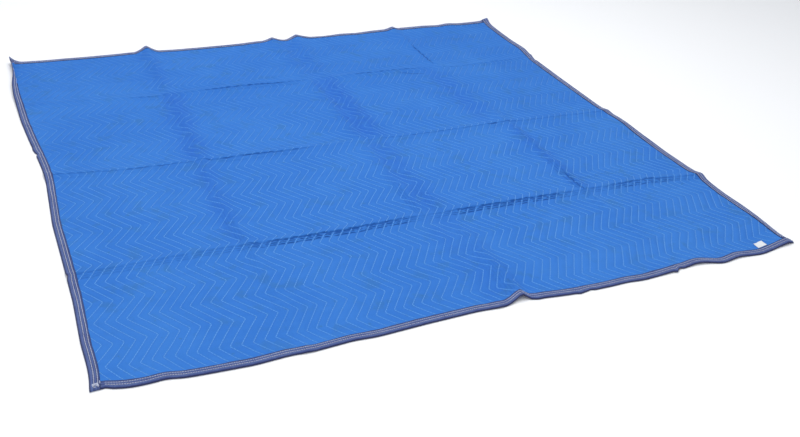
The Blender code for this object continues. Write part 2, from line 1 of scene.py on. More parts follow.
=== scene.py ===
import bpy
import numpy as np
from mathutils import Matrix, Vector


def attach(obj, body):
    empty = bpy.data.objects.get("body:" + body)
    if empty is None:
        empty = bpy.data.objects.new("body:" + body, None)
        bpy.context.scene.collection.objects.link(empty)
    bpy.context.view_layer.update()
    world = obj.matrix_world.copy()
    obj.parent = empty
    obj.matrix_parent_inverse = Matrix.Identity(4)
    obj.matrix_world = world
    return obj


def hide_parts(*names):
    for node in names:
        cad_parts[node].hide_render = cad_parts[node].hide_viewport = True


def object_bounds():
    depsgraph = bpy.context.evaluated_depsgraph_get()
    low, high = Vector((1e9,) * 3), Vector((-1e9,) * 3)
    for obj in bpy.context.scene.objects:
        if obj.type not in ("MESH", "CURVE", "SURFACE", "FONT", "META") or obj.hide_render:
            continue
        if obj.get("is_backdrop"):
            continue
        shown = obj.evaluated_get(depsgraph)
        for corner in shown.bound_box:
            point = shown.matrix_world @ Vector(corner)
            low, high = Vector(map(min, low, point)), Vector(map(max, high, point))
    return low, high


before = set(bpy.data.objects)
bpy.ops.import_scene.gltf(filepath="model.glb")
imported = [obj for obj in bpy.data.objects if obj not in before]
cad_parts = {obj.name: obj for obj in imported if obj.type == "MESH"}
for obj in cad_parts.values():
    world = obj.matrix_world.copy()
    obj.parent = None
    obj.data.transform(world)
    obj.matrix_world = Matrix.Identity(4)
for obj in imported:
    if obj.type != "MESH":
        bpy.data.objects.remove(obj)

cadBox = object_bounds()

# camera, as fitted to the four corners of the laid cloth
camera = {
    "eye": (-1.1211, -2.4120, 1.4075),
    "azimuth": -24.7131,      # degrees, 0 looks along +Y
    "elevation": 32.6643,
    "roll": 4.6732,
    "lens": 40.44,
    "sensorWidth": 36.0,
    "shift": (0.0647, 0.0012)}


def addCamera(values):
    # right, up and back as the columns of the camera's matrix, from its three angles
    a, e, r = np.radians([values["azimuth"], values["elevation"], values["roll"]])
    back = np.array([np.sin(a) * np.cos(e), -np.cos(a) * np.cos(e), np.sin(e)])
    right = np.cross([0, 0, 1], back)
    right /= np.linalg.norm(right)
    up = np.cross(back, right)
    columns = [np.cos(r) * right + np.sin(r) * up, np.cos(r) * up - np.sin(r) * right, back]
    data = bpy.data.cameras.new("viewCamera")
    data.lens = values["lens"]
    data.sensor_width = values["sensorWidth"]
    data.shift_x, data.shift_y = values["shift"]
    seen = bpy.data.objects.new("viewCamera", data)
    turn = Matrix([[float(column[row]) for column in columns] for row in range(3)]).to_4x4()
    seen.matrix_world = Matrix.Translation(values["eye"]) @ turn
    bpy.context.scene.collection.objects.link(seen)
    bpy.context.scene.camera = seen


addCamera(camera)
print("camera placed")

# the laid cloth, on the plan of its cut size: X along the front edge, Y from front to back
cloth = {
    "width": 2.030,
    "depth": 1.830,
    "planMiddle": (0.006587, 0.011750),  # where the plan's middle lies in the object's own box
    "outlineReach": 0.300,               # how far an edge pulls the cloth with it
    "edgeReach": 0.100,                  # how far in from a raised edge its rise dies away
    "ridgePower": 1.5,
    "crestRounding": 0.07,               # share of a fold's foot
    "joiningPower": 3.0,
    "tableSoftness": 0.016,              # metres over which the tables' bends are rounded
    "hinge": 0.022,                      # how far in from the cut edge a turned edge bends
    "turnReach": 0.150,
    "droopReach": 0.075,
    "marginBottom": 0.0013,
    "marginTop": (0.0021, 0.0043),       # at the cloth's own edge, and further in
    "marginRamp": 0.009}
halfWidth = cloth["width"] / 2
halfDepth = cloth["depth"] / 2


def inMetres(tables):
    # tables written in whole millimetres, as arrays in metres
    return {name: np.array(rows) / 1000 for name, rows in tables.items()}


# how far each edge stands out past the cut size, in millimetres: (place along it, distance out)
edgesOut = inMetres({
    "left": [
        (-915, 1), (-870, -5), (-830, -6), (-750, -4), (-590, -9), (-400, -7), (-230, -4),
        (0, -14), (90, -12), (160, -6), (280, 6), (420, 17), (620, 23), (700, 20), (760, 11),
        (820, 6), (915, 10)],
    "right": [
        (-915, 6), (-875, -4), (-830, 0), (-760, 6), (-700, 6), (-590, -1), (-555, 2),
        (-510, 10), (-460, 1), (-350, -2), (-270, -1), (-110, 6), (-60, 2), (-10, -8),
        (50, -12), (250, -12), (490, -13), (540, -4), (590, 3), (700, 0), (790, -3), (870, -3),
        (915, 2)],
    "front": [
        (-1015, 2), (-990, -3), (-971, 5), (-932, 14), (-885, 15), (-850, 11), (-815, 20),
        (-770, 23), (-650, 28), (-560, 22), (-510, 26), (-400, 18), (-340, 22), (-200, 14),
        (-50, 9), (20, 14), (55, 6), (82, -6), (102, 2), (115, 12), (140, 11), (180, 16),
        (230, 21), (350, 22), (405, 20), (455, 25), (560, 19), (610, 12), (655, 7), (695, 14),
        (735, 27), (800, 16), (880, 24), (960, 9), (1015, 3)],
    "back": [
        (-1015, 4), (-900, -3), (-700, -3), (-519, 3), (-400, -6), (-200, -5), (0, 3),
        (49, -4), (100, 3), (540, 3), (800, 1), (1015, 4)]})

# how high an edge's underside stands off the floor, apart from the folds, in millimetres:
# (along, height)
edgeRises = inMetres({
    "back": [
        (-1015, 0), (-150, 0), (-80, 3), (0, 3), (49, 0), (100, 3), (240, 0), (300, 5),
        (370, 2), (440, 6), (600, 9), (690, 10), (765, 7), (810, 13), (870, 7), (940, 8),
        (1015, 10)],
    "right": [
        (-915, 0), (-640, 0), (-590, 3), (-380, 2), (-300, 0), (520, 0), (600, 5), (700, 2),
        (800, 5), (915, 8)],
    "front": [
        (-1015, 0), (500, 0), (570, 3), (610, 0), (660, 5), (730, 0), (800, 3), (840, 0),
        (1015, 0)]})

# corners that curl up: (side of X, side of Y, height at the tip, reach of the curl)
cornerCurls = [(-1, 1, 0.022, 0.048), (1, 1, 0.019, 0.060)]

# how far an edge is turned about the inner side of its tape: (along, degrees), up where positive
# and drooping to the floor where negative
edgeTurns = {
    "left": [(-0.915, 0), (0.360, 0), (0.560, 14), (0.660, 34), (0.785, 66), (0.845, 88),
             (0.865, 84), (0.900, 52), (0.915, 45)],
    "right": [(-0.915, -16), (-0.800, -15), (-0.740, -5), (-0.690, 0), (-0.620, -2),
              (-0.560, -10), (-0.500, -4), (-0.430, 0), (-0.330, 3), (-0.260, 5), (-0.200, 1),
              (-0.120, -8), (0.060, -7), (0.180, -2), (0.260, 0), (0.450, 6), (0.600, 4),
              (0.690, -3), (0.860, -6), (0.915, 0)],
    "back": [(-1.015, 0), (-0.150, 0), (0.000, -10), (0.300, -6), (0.500, -10), (1.015, -6)]}

# fold creases, in millimetres: (along, where the crest lies across, height there, foot before
# it, foot after it)
lengthwiseFolds = inMetres({
    "left": [
        (-915, -519, 2, 35, 35), (-700, -518, 4, 38, 38), (-478, -522, 8, 50, 35),
        (-250, -540, 10, 45, 42), (0, -530, 13, 45, 45), (250, -520, 14, 50, 50),
        (500, -521, 12, 50, 50), (700, -523, 10, 40, 40), (915, -519, 23, 48, 46)],
    "middleLeft": [
        (-915, 10, 2, 45, 20), (-700, 14, 3, 45, 30), (-478, 16, 5, 45, 34),
        (-250, 10, 10, 45, 36), (0, 12, 10, 45, 36), (250, 14, 10, 45, 36),
        (505, 10, 7, 45, 38), (700, 4, 9, 45, 42), (915, -4, 14, 50, 50)],
    "middleRight": [
        (-915, 84, 14, 56, 26), (-800, 90, 11, 50, 30), (-478, 84, 5, 34, 38),
        (-250, 81, 6, 36, 40), (0, 84, 8, 36, 45), (250, 86, 10, 36, 50), (505, 86, 8, 38, 45),
        (700, 88, 10, 42, 45), (915, 100, 18, 52, 75)],
    "right": [
        (-915, 583, 2, 35, 30), (-700, 582, 3, 35, 30), (-482, 580, 9, 40, 30),
        (-250, 577, 12, 42, 32), (0, 573, 12, 45, 35), (250, 562, 6, 60, 35),
        (500, 572, 8, 45, 35), (700, 556, 7, 40, 35), (915, 542, 17, 60, 40)]})
crosswiseFolds = inMetres({
    "front": [
        (-1015, -482, 6, 35, 30), (-800, -478, 7, 38, 30), (-580, -474, 6, 40, 30),
        (-400, -484, 10, 62, 32), (-200, -486, 10, 60, 32), (-40, -478, 8, 45, 30),
        (50, -477, 4, 40, 30), (150, -479, 9, 50, 30), (300, -483, 10, 62, 32),
        (450, -483, 9, 55, 30), (600, -484, 6, 40, 30), (800, -486, 11, 55, 30),
        (1015, -512, 8, 45, 35)],
    "middle": [
        (-1015, 41, 7, 35, 35), (-780, 14, 7, 38, 35), (-530, 6, 6, 35, 35),
        (-350, 3, 9, 42, 40), (-100, 0, 5, 35, 35), (100, 0, 5, 35, 35), (350, 0, 4, 32, 32),
        (540, 0, 10, 40, 35), (650, -2, 5, 32, 32), (1015, -14, 6, 35, 35)],
    "back": [
        (-1015, 534, 2, 35, 35), (-780, 528, 3, 35, 35), (-590, 498, 7, 42, 35),
        (-400, 507, 8, 42, 35), (-250, 505, 13, 55, 38), (-80, 505, 8, 40, 35),
        (40, 512, 3, 32, 32), (240, 505, 12, 52, 38), (400, 505, 12, 52, 38),
        (520, 510, 4, 35, 35), (620, 494, 4, 35, 35), (800, 500, 6, 40, 40),
        (1015, 522, 2, 40, 40)]})

# how sharp each crosswise crease is along X, which sets its fine folds and the darkness of the painted
# shade along it
crosswiseSharpness = {
    "front": [(-1.015, 0.45), (-0.90, 0.25), (-0.60, 0.30), (-0.47, 0.85), (-0.30, 1.0),
              (-0.06, 0.85), (0.00, 0.15), (0.08, 0.40), (0.13, 0.85), (0.30, 0.95),
              (0.46, 0.85), (0.53, 0.30), (0.66, 0.40), (0.72, 0.75), (0.86, 0.75),
              (0.93, 0.30), (1.015, 0.55)],
    "middle": [(-1.015, 0.40), (-0.95, 0.65), (-0.80, 0.45), (-0.70, 0.70), (-0.60, 0.50),
               (-0.53, 0.40), (-0.48, 0.85), (-0.35, 0.95), (-0.22, 0.75), (-0.15, 0.10),
               (0.06, 0.15), (0.12, 0.40), (0.30, 0.45), (0.47, 0.45), (0.51, 0.90),
               (0.58, 0.80), (0.62, 0.35), (0.90, 0.35), (1.015, 0.30)],
    "back": [(-1.015, 0.10), (-0.66, 0.15), (-0.61, 0.65), (-0.56, 0.55), (-0.52, 0.15),
             (-0.42, 0.25), (-0.38, 0.60), (-0.31, 0.90), (-0.12, 0.90), (-0.04, 0.55),
             (0.00, 0.10), (0.18, 0.20), (0.23, 0.65), (0.29, 0.60), (0.33, 0.45),
             (0.37, 0.65), (0.44, 0.55), (0.50, 0.15), (0.62, 0.30), (0.80, 0.35),
             (0.98, 0.25), (1.015, 0.15)]}
# the same along Y for the lengthwise ones
lengthwiseSharpness = {
    "left": [(-0.915, 0.05), (-0.60, 0.15), (-0.50, 0.30), (-0.40, 0.35), (-0.05, 0.40),
             (0.05, 0.40), (0.30, 0.45), (0.50, 0.35), (0.60, 0.20), (0.80, 0.25),
             (0.915, 0.35)],
    "middleLeft": [(-0.915, 0.05), (-0.52, 0.10), (-0.44, 0.45), (-0.10, 0.55), (0.00, 0.30),
                   (0.15, 0.40), (0.50, 0.35), (0.56, 0.50), (0.80, 0.45), (0.915, 0.30)],
    "middleRight": [(-0.915, 0.55), (-0.80, 0.30), (-0.52, 0.15), (-0.44, 0.35), (-0.10, 0.40),
                    (0.00, 0.25), (0.15, 0.45), (0.45, 0.40), (0.56, 0.45), (0.80, 0.35),
                    (0.915, 0.30)],
    "right": [(-0.915, 0.10), (-0.60, 0.15), (-0.46, 0.70), (-0.25, 0.85), (-0.06, 0.85),
              (0.02, 0.45), (0.15, 0.35), (0.45, 0.35), (0.55, 0.40), (0.80, 0.30),
              (0.915, 0.40)]}

# bands of painted shade beside the folds, where the cloth sinks in broad shallow folds: (x at
# the front end, x at the back end, half width, y from, y to, darkness)
shadedFoldBands = [
    (-0.545, -0.515, 0.036, 0.02, 0.50, 0.50), (-0.550, -0.545, 0.024, -0.46, -0.02, 0.40),
    (0.062, 0.068, 0.052, 0.02, 0.50, 0.50), (0.050, 0.055, 0.046, -0.46, -0.02, 0.36),
    (0.050, 0.050, 0.060, -0.90, -0.50, 0.20), (0.050, 0.050, 0.045, 0.52, 0.90, 0.18),
    (0.515, 0.515, 0.036, 0.04, 0.49, 0.34), (0.578, 0.574, 0.020, -0.46, -0.02, 0.44),
    (-0.525, -0.525, 0.030, 0.54, 0.90, 0.24)]

# wrinkles off the folds: (x, y, half length, half width, degrees from X, height)
wrinkles = [
    (0.250, 0.198, 0.150, 0.020, 35, 0.0068), (0.285, 0.150, 0.090, 0.012, 38, -0.0016),
    (0.470, 0.690, 0.085, 0.010, -38, 0.0022), (0.400, 0.770, 0.070, 0.009, -42, 0.0015),
    (0.660, 0.610, 0.060, 0.010, -50, 0.0018), (-0.160, 0.560, 0.050, 0.009, 12, 0.0014),
    (0.000, 0.430, 0.060, 0.009, 78, 0.0016), (0.120, 0.400, 0.050, 0.008, 100, 0.0016),
    (-0.480, 0.420, 0.060, 0.009, 70, 0.0016), (-0.560, 0.330, 0.050, 0.008, 105, 0.0014),
    (0.500, 0.440, 0.050, 0.008, 60, 0.0017), (0.540, 0.360, 0.045, 0.008, 95, 0.0016),
    (0.490, 0.280, 0.045, 0.007, 80, 0.0014), (0.530, 0.180, 0.040, 0.007, 98, 0.0014),
    (-0.500, -0.120, 0.050, 0.008, 80, 0.0014), (0.030, -0.330, 0.050, 0.008, 88, 0.0014),
    (0.095, -0.860, 0.050, 0.009, 86, 0.0018), (0.020, -0.840, 0.060, 0.010, 100, 0.0014),
    (-0.050, -0.850, 0.050, 0.010, 62, 0.0012), (0.170, -0.850, 0.060, 0.011, 118, 0.0014),
    (0.595, -0.850, 0.045, 0.008, 84, 0.0016), (0.740, -0.850, 0.060, 0.010, 120, 0.0010),
    (0.840, -0.540, 0.100, 0.010, 4, 0.0012), (-0.330, -0.545, 0.130, 0.009, 2, 0.0014),
    (0.300, -0.545, 0.120, 0.009, -2, 0.0014), (-0.980, -0.600, 0.050, 0.009, 60, 0.0010)]


def softRead(rows, column, along):
    # value of a table's column at places along it: straight between its rows, then the mean of
    # seven such readings around the place, so that the bends are rounded
    rows = np.asarray(rows)
    shifts = cloth["tableSoftness"] * np.linspace(-1, 1, 7)
    return np.mean([np.interp(along + s, rows[:, 0], rows[:, column]) for s in shifts], axis=0)


def softNoise(x, y, size, seed):
    # sum of nine sine waves of about the given length in seeded directions, from -1 to 1
    rng = np.random.default_rng(seed)
    total = np.zeros(np.broadcast(x, y).shape)
    for _ in range(9):
        direction = rng.uniform(0, 2 * np.pi)
        wave = 2 * np.pi / (size * rng.uniform(0.7, 1.6))
        phase = rng.uniform(0, 2 * np.pi)
        total += np.sin(wave * (x * np.cos(direction) + y * np.sin(direction)) + phase)
    return total / 4.5


def edgeTurn(side, x, y):
    # distance in from a side's cut edge, and how far the edge is turned there, in radians
    distance, along = {"left": (x + halfWidth, y), "right": (halfWidth - x, y),
                       "back": (halfDepth - y, x)}[side]
    return np.maximum(distance, 0), np.radians(softRead(edgeTurns[side], 1, along))


def turnPull(side, x, y):
    # a turned edge covers less floor, so the cloth behind it lies further out: the distance to
    # the edge * (1 - cos of the turn), and past the hinge that of the hinge, fading inwards
    distance, turn = edgeTurn(side, x, y)
    t = np.clip(1 - (distance - cloth["hinge"]) / cloth["turnReach"], 0, 1)
    reach = np.where(distance < cloth["hinge"], distance, cloth["hinge"] * t * t * (3 - 2 * t))
    return (1 - np.cos(turn)) * reach


def turnLift(side, x, y):
    # height of the hinge * the share of a straight rise to the edge, or of a droop down to it
    distance, turn = edgeTurn(side, x, y)
    hinge = cloth["hinge"]
    behind = np.clip(1 - (distance - hinge) / cloth["droopReach"], 0, 1) ** cloth["ridgePower"]
    droop = np.where(distance < hinge, distance / hinge, behind)
    share = np.where(turn > 0, np.clip(1 - distance / hinge, 0, 1), droop)
    return hinge * np.abs(np.sin(turn)) * share


def layOutline(x, y):
    # each edge pulls its neighbourhood in or out: smoothstep(1 - distance / reach) * its stand-out
    def share(distance):
        t = np.clip(1 - distance / cloth["outlineReach"], 0, 1)
        return t * t * (3 - 2 * t)
    left = softRead(edgesOut["left"], 1, y) * share(x + halfWidth)
    right = softRead(edgesOut["right"], 1, y) * share(halfWidth - x)
    front = softRead(edgesOut["front"], 1, x) * share(y + halfDepth)
    back = softRead(edgesOut["back"], 1, x) * share(halfDepth - y)
    left = left + turnPull("left", x, y)
    right = right + turnPull("right", x, y)
    back = back + turnPull("back", x, y)
    middleX, middleY = cloth["planMiddle"]
    return x - left + right + middleX, y - front + back + middleY


def ridge(height, t):
    # height * (1 - t)^1.5, with the crest rounded off over a small share of the foot
    rounding = cloth["crestRounding"]
    t = np.sqrt(t * t + rounding * rounding) - rounding
    return height * np.clip(1 - t, 0, 1) ** cloth["ridgePower"]


def foldOffset(rows, along, across):
    # signed distance from a fold's crest, and the foot on that side
    offset = across - softRead(rows, 1, along)
    foot = np.where(offset < 0, softRead(rows, 3, along), softRead(rows, 4, along))
    return offset, foot


def gullies(offset, sharpness, along):
    # fine sharp folds under a worn crest, on its front slope: two troughs with a ripple between,
    # each a Gaussian across the fold, broken up along it
    broken = 0.65 + 0.35 * np.sin(along * 95 + 2.5 * np.sin(along * 31))
    sway = 0.0022 * np.sin(along * 53 + 2 * np.sin(along * 17)) + 0.0011 * np.sin(along * 140)
    offset = offset + sway
    first = -0.0030 * np.exp(-((offset + 0.0085) / 0.0042) ** 2) * (0.75 + 0.4 * broken)
    ripple = 0.0014 * np.exp(-((offset + 0.0160) / 0.0045) ** 2) * broken
    second = -0.0015 * np.exp(-((offset + 0.0225 + 0.002 * broken) / 0.0042) ** 2) * (1.3 - broken)
    return sharpness * (first + ripple + second)


def clothLift(x, y):
    # height of the underside: the p-norm of the edges' rises, the folds, and the curled corners,
    # with the small wrinkles added where it stands clear of the floor
    def rise(rows, along, fromEdge):
        return softRead(rows, 1, along) * np.clip(1 - fromEdge / cloth["edgeReach"], 0, 1)
    parts = [rise(edgeRises["right"], y, halfWidth - x), rise(edgeRises["front"], x, y + halfDepth),
             rise(edgeRises["back"], x, halfDepth - y)]
    parts += [turnLift(side, x, y) for side in edgeTurns]
    for rows in lengthwiseFolds.values():
        offset, foot = foldOffset(rows, y, x)
        parts.append(ridge(softRead(rows, 2, y), np.abs(offset) / foot))
    for rows in crosswiseFolds.values():
        offset, foot = foldOffset(rows, x, y)
        parts.append(ridge(softRead(rows, 2, x), np.abs(offset) / foot))
    for sideX, sideY, height, reach in cornerCurls:
        fromTip = (halfWidth - sideX * x) + (halfDepth - sideY * y)
        parts.append(ridge(height, np.clip(fromTip / reach, 0, 1)))
    joined = sum(np.maximum(part, 0) ** cloth["joiningPower"] for part in parts)
    return joined ** (1 / cloth["joiningPower"])


def wrinkleHeight(x, y):
    # each wrinkle is a long Gaussian ridge, bent a little by noise
    total = np.zeros(x.shape)
    for middleX, middleY, halfLength, halfThick, angle, height in wrinkles:
        near = (np.abs(x - middleX) < 2.5 * halfLength) & (np.abs(y - middleY) < 2.5 * halfLength)
        a = np.radians(angle)
        dx, dy = x[near] - middleX, y[near] - middleY
        along = dx * np.cos(a) + dy * np.sin(a)
        across = dy * np.cos(a) - dx * np.sin(a) + 0.25 * halfThick * np.sin(along / halfLength * 4)
        total[near] += height * np.exp(-(along / halfLength) ** 2 - (across / halfThick) ** 2)
    return total


def creaseFields(x, y):
    # for the crosswise and the lengthwise creases, the signed distance to the nearest crest and
    # how sharp it is there, which also sets the painted shade along it, and fades out 70 mm from it
    fields = []
    for folds, sharpness, along, across in ((crosswiseFolds, crosswiseSharpness, x, y),
                                       (lengthwiseFolds, lengthwiseSharpness, y, x)):
        nearest = np.full(x.shape, 1.0)
        worn = np.zeros(x.shape)
        for name, rows in folds.items():
            offset = across - softRead(rows, 1, along)
            closer = np.abs(offset) < np.abs(nearest)
            nearest = np.where(closer, offset, nearest)
            worn = np.where(closer, softRead(sharpness[name], 1, along), worn)
        worn = worn * np.clip((0.07 - np.abs(nearest)) / 0.02, 0, 1)
        fields.append((np.clip(nearest, -0.08, 0.08), worn))
    return fields


# zigzag quilting, in rows that run from the front edge to the back edge
quilting = {
    "pitch": 0.02675,
    "run": 0.0785,                 # from one bend to the next, along Y
    "swing": 0.0616,               # from one bend to the next, along X
    "firstApex": (-0.944, -0.767),
    "stitched": 0.0024,            # thickness along a stitched row
    "puffed": 0.0049,              # and in the middle between two rows
    "fullness": 2.6,
    "underPuff": 0.0011,
    "wander": (0.0045, 0.0060),    # how far the rows stray, along X and along Y
    "wanderSize": 0.34,
    "columns": (0.0, 0.14, 0.50, 0.86),
    "rowsPerRun": 10,
    "foldLevels": (-0.488, -0.002, 0.500),  # about where the crosswise folds lie along Y
    "fineReach": 0.040,            # how far from them the grid is finer
    "levelRamp": 0.012,            # from the level margin to the full puffs
    "inset": 0.0030,               # the cloth's own edge inside the folded tape
    "underInset": 0.0300,
    "bindingWidth": 0.022}


def zigzagShift(y):
    # triangle wave: 0 at the first apex, and the swing to the left at the bends beside it
    waves = (y - quilting["firstApex"][1]) / (2 * quilting["run"])
    return -2 * quilting["swing"] * np.abs((waves + 0.5) % 1 - 0.5)


def rowWander(x, y):
    # how far the sewn rows stray from an even zigzag at a place of the plan
    strayX, strayY = quilting["wander"]
    size = quilting["wanderSize"]
    return strayX * softNoise(x, y, size, 61), strayY * softNoise(x, y, 0.8 * size, 62)


def rowPlace(x, y):
    # X of the row through a place, taken back to the row's first apex
    strayX, strayY = rowWander(x, y)
    return x - zigzagShift(y + strayY) - strayX


def onRow(row, y):
    # plan X at height y of the row with that apex: rowPlace turned round, in a few steps
    x = row + zigzagShift(y)
    for _ in range(4):
        strayX, strayY = rowWander(x, y)
        x = row + zigzagShift(y + strayY) + strayX
    return x


def rowPhase(x, y):
    # place between two stitched rows, from 0 to 1
    return ((rowPlace(x, y) - quilting["firstApex"][0]) / quilting["pitch"]) % 1


label = {
    "width": 0.038,
    "depth": 0.020,
    "middleX": 0.906,
    "thickness": 0.0007,
    "gap": 0.0006,
    "standOff": 0.0050}


def quiltRelief(x, y):
    # thickness over the underside: stitched + (puffed - stitched) * (1 - |2 phase - 1|^fullness),
    # uneven from puff to puff, and level at the margin and under the label
    between = np.abs(2 * rowPhase(x, y) - 1)
    fill = 1 + 0.16 * softNoise(x, y, 0.21, 4) + 0.08 * softNoise(x, y, 0.06, 5)
    puff = (quilting["puffed"] - quilting["stitched"]) * fill
    relief = quilting["stitched"] + puff * (1 - between ** quilting["fullness"])
    fromEdge = np.minimum(halfWidth - np.abs(x), halfDepth - np.abs(y)) - quilting["bindingWidth"]
    inside = np.clip(fromEdge / quilting["levelRamp"], 0, 1)
    aside = np.abs(x - label["middleX"]) - label["width"] / 2
    beyond = y + halfDepth - quilting["bindingWidth"] - label["depth"]
    offLabel = np.clip(np.maximum(aside, beyond) / quilting["levelRamp"] - 0.3, 0, 1)
    share = inside * inside * (3 - 2 * inside) * offLabel
    fromCut = fromEdge + quilting["bindingWidth"] - quilting["inset"]
    margin = np.interp(fromCut, (0, cloth["marginRamp"]), cloth["marginTop"])
    return margin + (relief - margin) * share, share


def topHeight(x, y):
    # underside's lift, the quilting's relief, and the fine creases and wrinkles on the top
    relief, share = quiltRelief(x, y)
    (crossOffset, crossSharpness), (longOffset, longSharpness) = creaseFields(x, y)
    fine = gullies(crossOffset, crossSharpness, x) + 0.3 * gullies(-longOffset, longSharpness, y)
    fine = fine + wrinkleHeight(x, y) + 0.0007 * softNoise(x, y, 0.26, 11)
    pressed = clothLift(x, y) + relief + fine * share
    return np.maximum(pressed, 0.0011)


def levelsAlong():
    # plan Y of the grid's rows: even steps from bend to bend, and finer near the crosswise folds
    limit = halfDepth - quilting["inset"]
    step = quilting["run"] / quilting["rowsPerRun"]
    first = int(np.floor((-limit - quilting["firstApex"][1]) / step))
    last = int(np.ceil((limit - quilting["firstApex"][1]) / step))
    counts = np.arange(first, last + 1)
    levels = quilting["firstApex"][1] + step * counts
    keep = np.abs(levels) < limit - 0.3 * step
    levels, bends = levels[keep], (counts[keep] % quilting["rowsPerRun"]) == 0
    between = (levels[1:] + levels[:-1]) / 2
    toFold = np.min([np.abs(between - centre) for centre in quilting["foldLevels"]], axis=0)
    fine = between[toFold < quilting["fineReach"]]
    allLevels = np.concatenate([[-limit], levels, fine, [limit]])
    return np.sort(allLevels), levels[bends]


def weldGrid(xs, ys, limit):
    # columns of a zigzag grid, stopped at the left and right limits; the points stopped there
    # are made one, so that each row ends in a single point on the straight side
    x = onRow(xs[None, :], np.broadcast_to(ys[:, None], (len(ys), len(xs))))
    stopped = np.clip(x, -limit, limit)
    number = np.arange(x.size).reshape(x.shape)
    lastLeft = np.maximum((x <= -limit).sum(axis=1) - 1, 0)
    firstRight = np.minimum(x.shape[1] - (x >= limit).sum(axis=1), x.shape[1] - 1)
    column = np.clip(np.arange(x.shape[1])[None, :], lastLeft[:, None], firstRight[:, None])
    return stopped, np.take_along_axis(number, column, axis=1)


def gridTriangles(number):
    # two triangles for each cell, without the ones that have shrunk to a line
    a, b, c, d = number[:-1, :-1], number[:-1, 1:], number[1:, 1:], number[1:, :-1]
    faces = np.concatenate([np.stack([a, b, c], -1).reshape(-1, 3),
                            np.stack([a, c, d], -1).reshape(-1, 3)])
    whole = ((faces[:, 0] != faces[:, 1]) & (faces[:, 1] != faces[:, 2])
             & (faces[:, 2] != faces[:, 0]))
    return faces[whole]


def zipRows(outer, outerAt, inner, innerAt):
    # triangles between two rows of points that share their ends' places: each outer edge goes
    # to the inner point nearest its middle, and each inner edge to the outer point between
    outerMiddle = (outerAt[1:] + outerAt[:-1]) / 2
    innerMiddle = (innerAt[1:] + innerAt[:-1]) / 2
    toInner = np.searchsorted(innerMiddle, outerMiddle)
    toOuter = np.searchsorted(outerMiddle, innerMiddle, side="right")
    return np.concatenate([
        np.stack([outer[:-1], outer[1:], inner[toInner]], -1),
        np.stack([inner[1:], inner[:-1], outer[toOuter]], -1)])


def newMesh(name, points, faces, smooth=True):
    # mesh of an array of points and an array of triangles or quads, without stray points
    used, places = np.unique(faces, return_inverse=True)
    faces = places.reshape(faces.shape)
    mesh = bpy.data.meshes.new(name)
    size = faces.shape[1]
    mesh.vertices.add(len(used))
    mesh.vertices.foreach_set("co", points[used].astype(np.float32).ravel())
    mesh.loops.add(faces.size)
    mesh.loops.foreach_set("vertex_index", faces.astype(np.int32).ravel())
    mesh.polygons.add(len(faces))
    mesh.polygons.foreach_set("loop_start", np.arange(0, faces.size, size, dtype=np.int32))
    mesh.update(calc_edges=True)
    mesh.validate()
    if smooth:
        mesh.shade_smooth()
    piece = bpy.data.objects.new(name, mesh)
    bpy.context.scene.collection.objects.link(piece)
    return piece, used


def setUv(mesh, name, coordinates):
    # UV map from one pair of values for each vertex
    layer = mesh.uv_layers.new(name=name)
    corners = np.empty(len(mesh.loops), dtype=np.int32)
    mesh.loops.foreach_get("vertex_index", corners)
    layer.data.foreach_set("uv", coordinates[corners].astype(np.float32).ravel())


def setVectors(mesh, name, values):
    layer = mesh.attributes.new(name, "FLOAT_VECTOR", "POINT")
    layer.data.foreach_set("vector", values.astype(np.float32).ravel())


def foldBandShade(x, y):
    # darkness of the painted shade in the bands beside the folds: soft boxes with wandering sides
    total = np.zeros(x.shape)
    wander = 0.010 * softNoise(x, y, 0.09, 21)
    for front, back, half, low, high, darkness in shadedFoldBands:
        share = np.clip((y - low) / (high - low), 0, 1)
        across = np.abs(x + wander - front - (back - front) * share)
        side = 1 / (1 + np.exp((across - half) / 0.011))
        ends = 1 / (1 + np.exp((low - y) / 0.018)) / (1 + np.exp((y - high) / 0.018))
        total = np.maximum(total, darkness * side * ends)
    return total


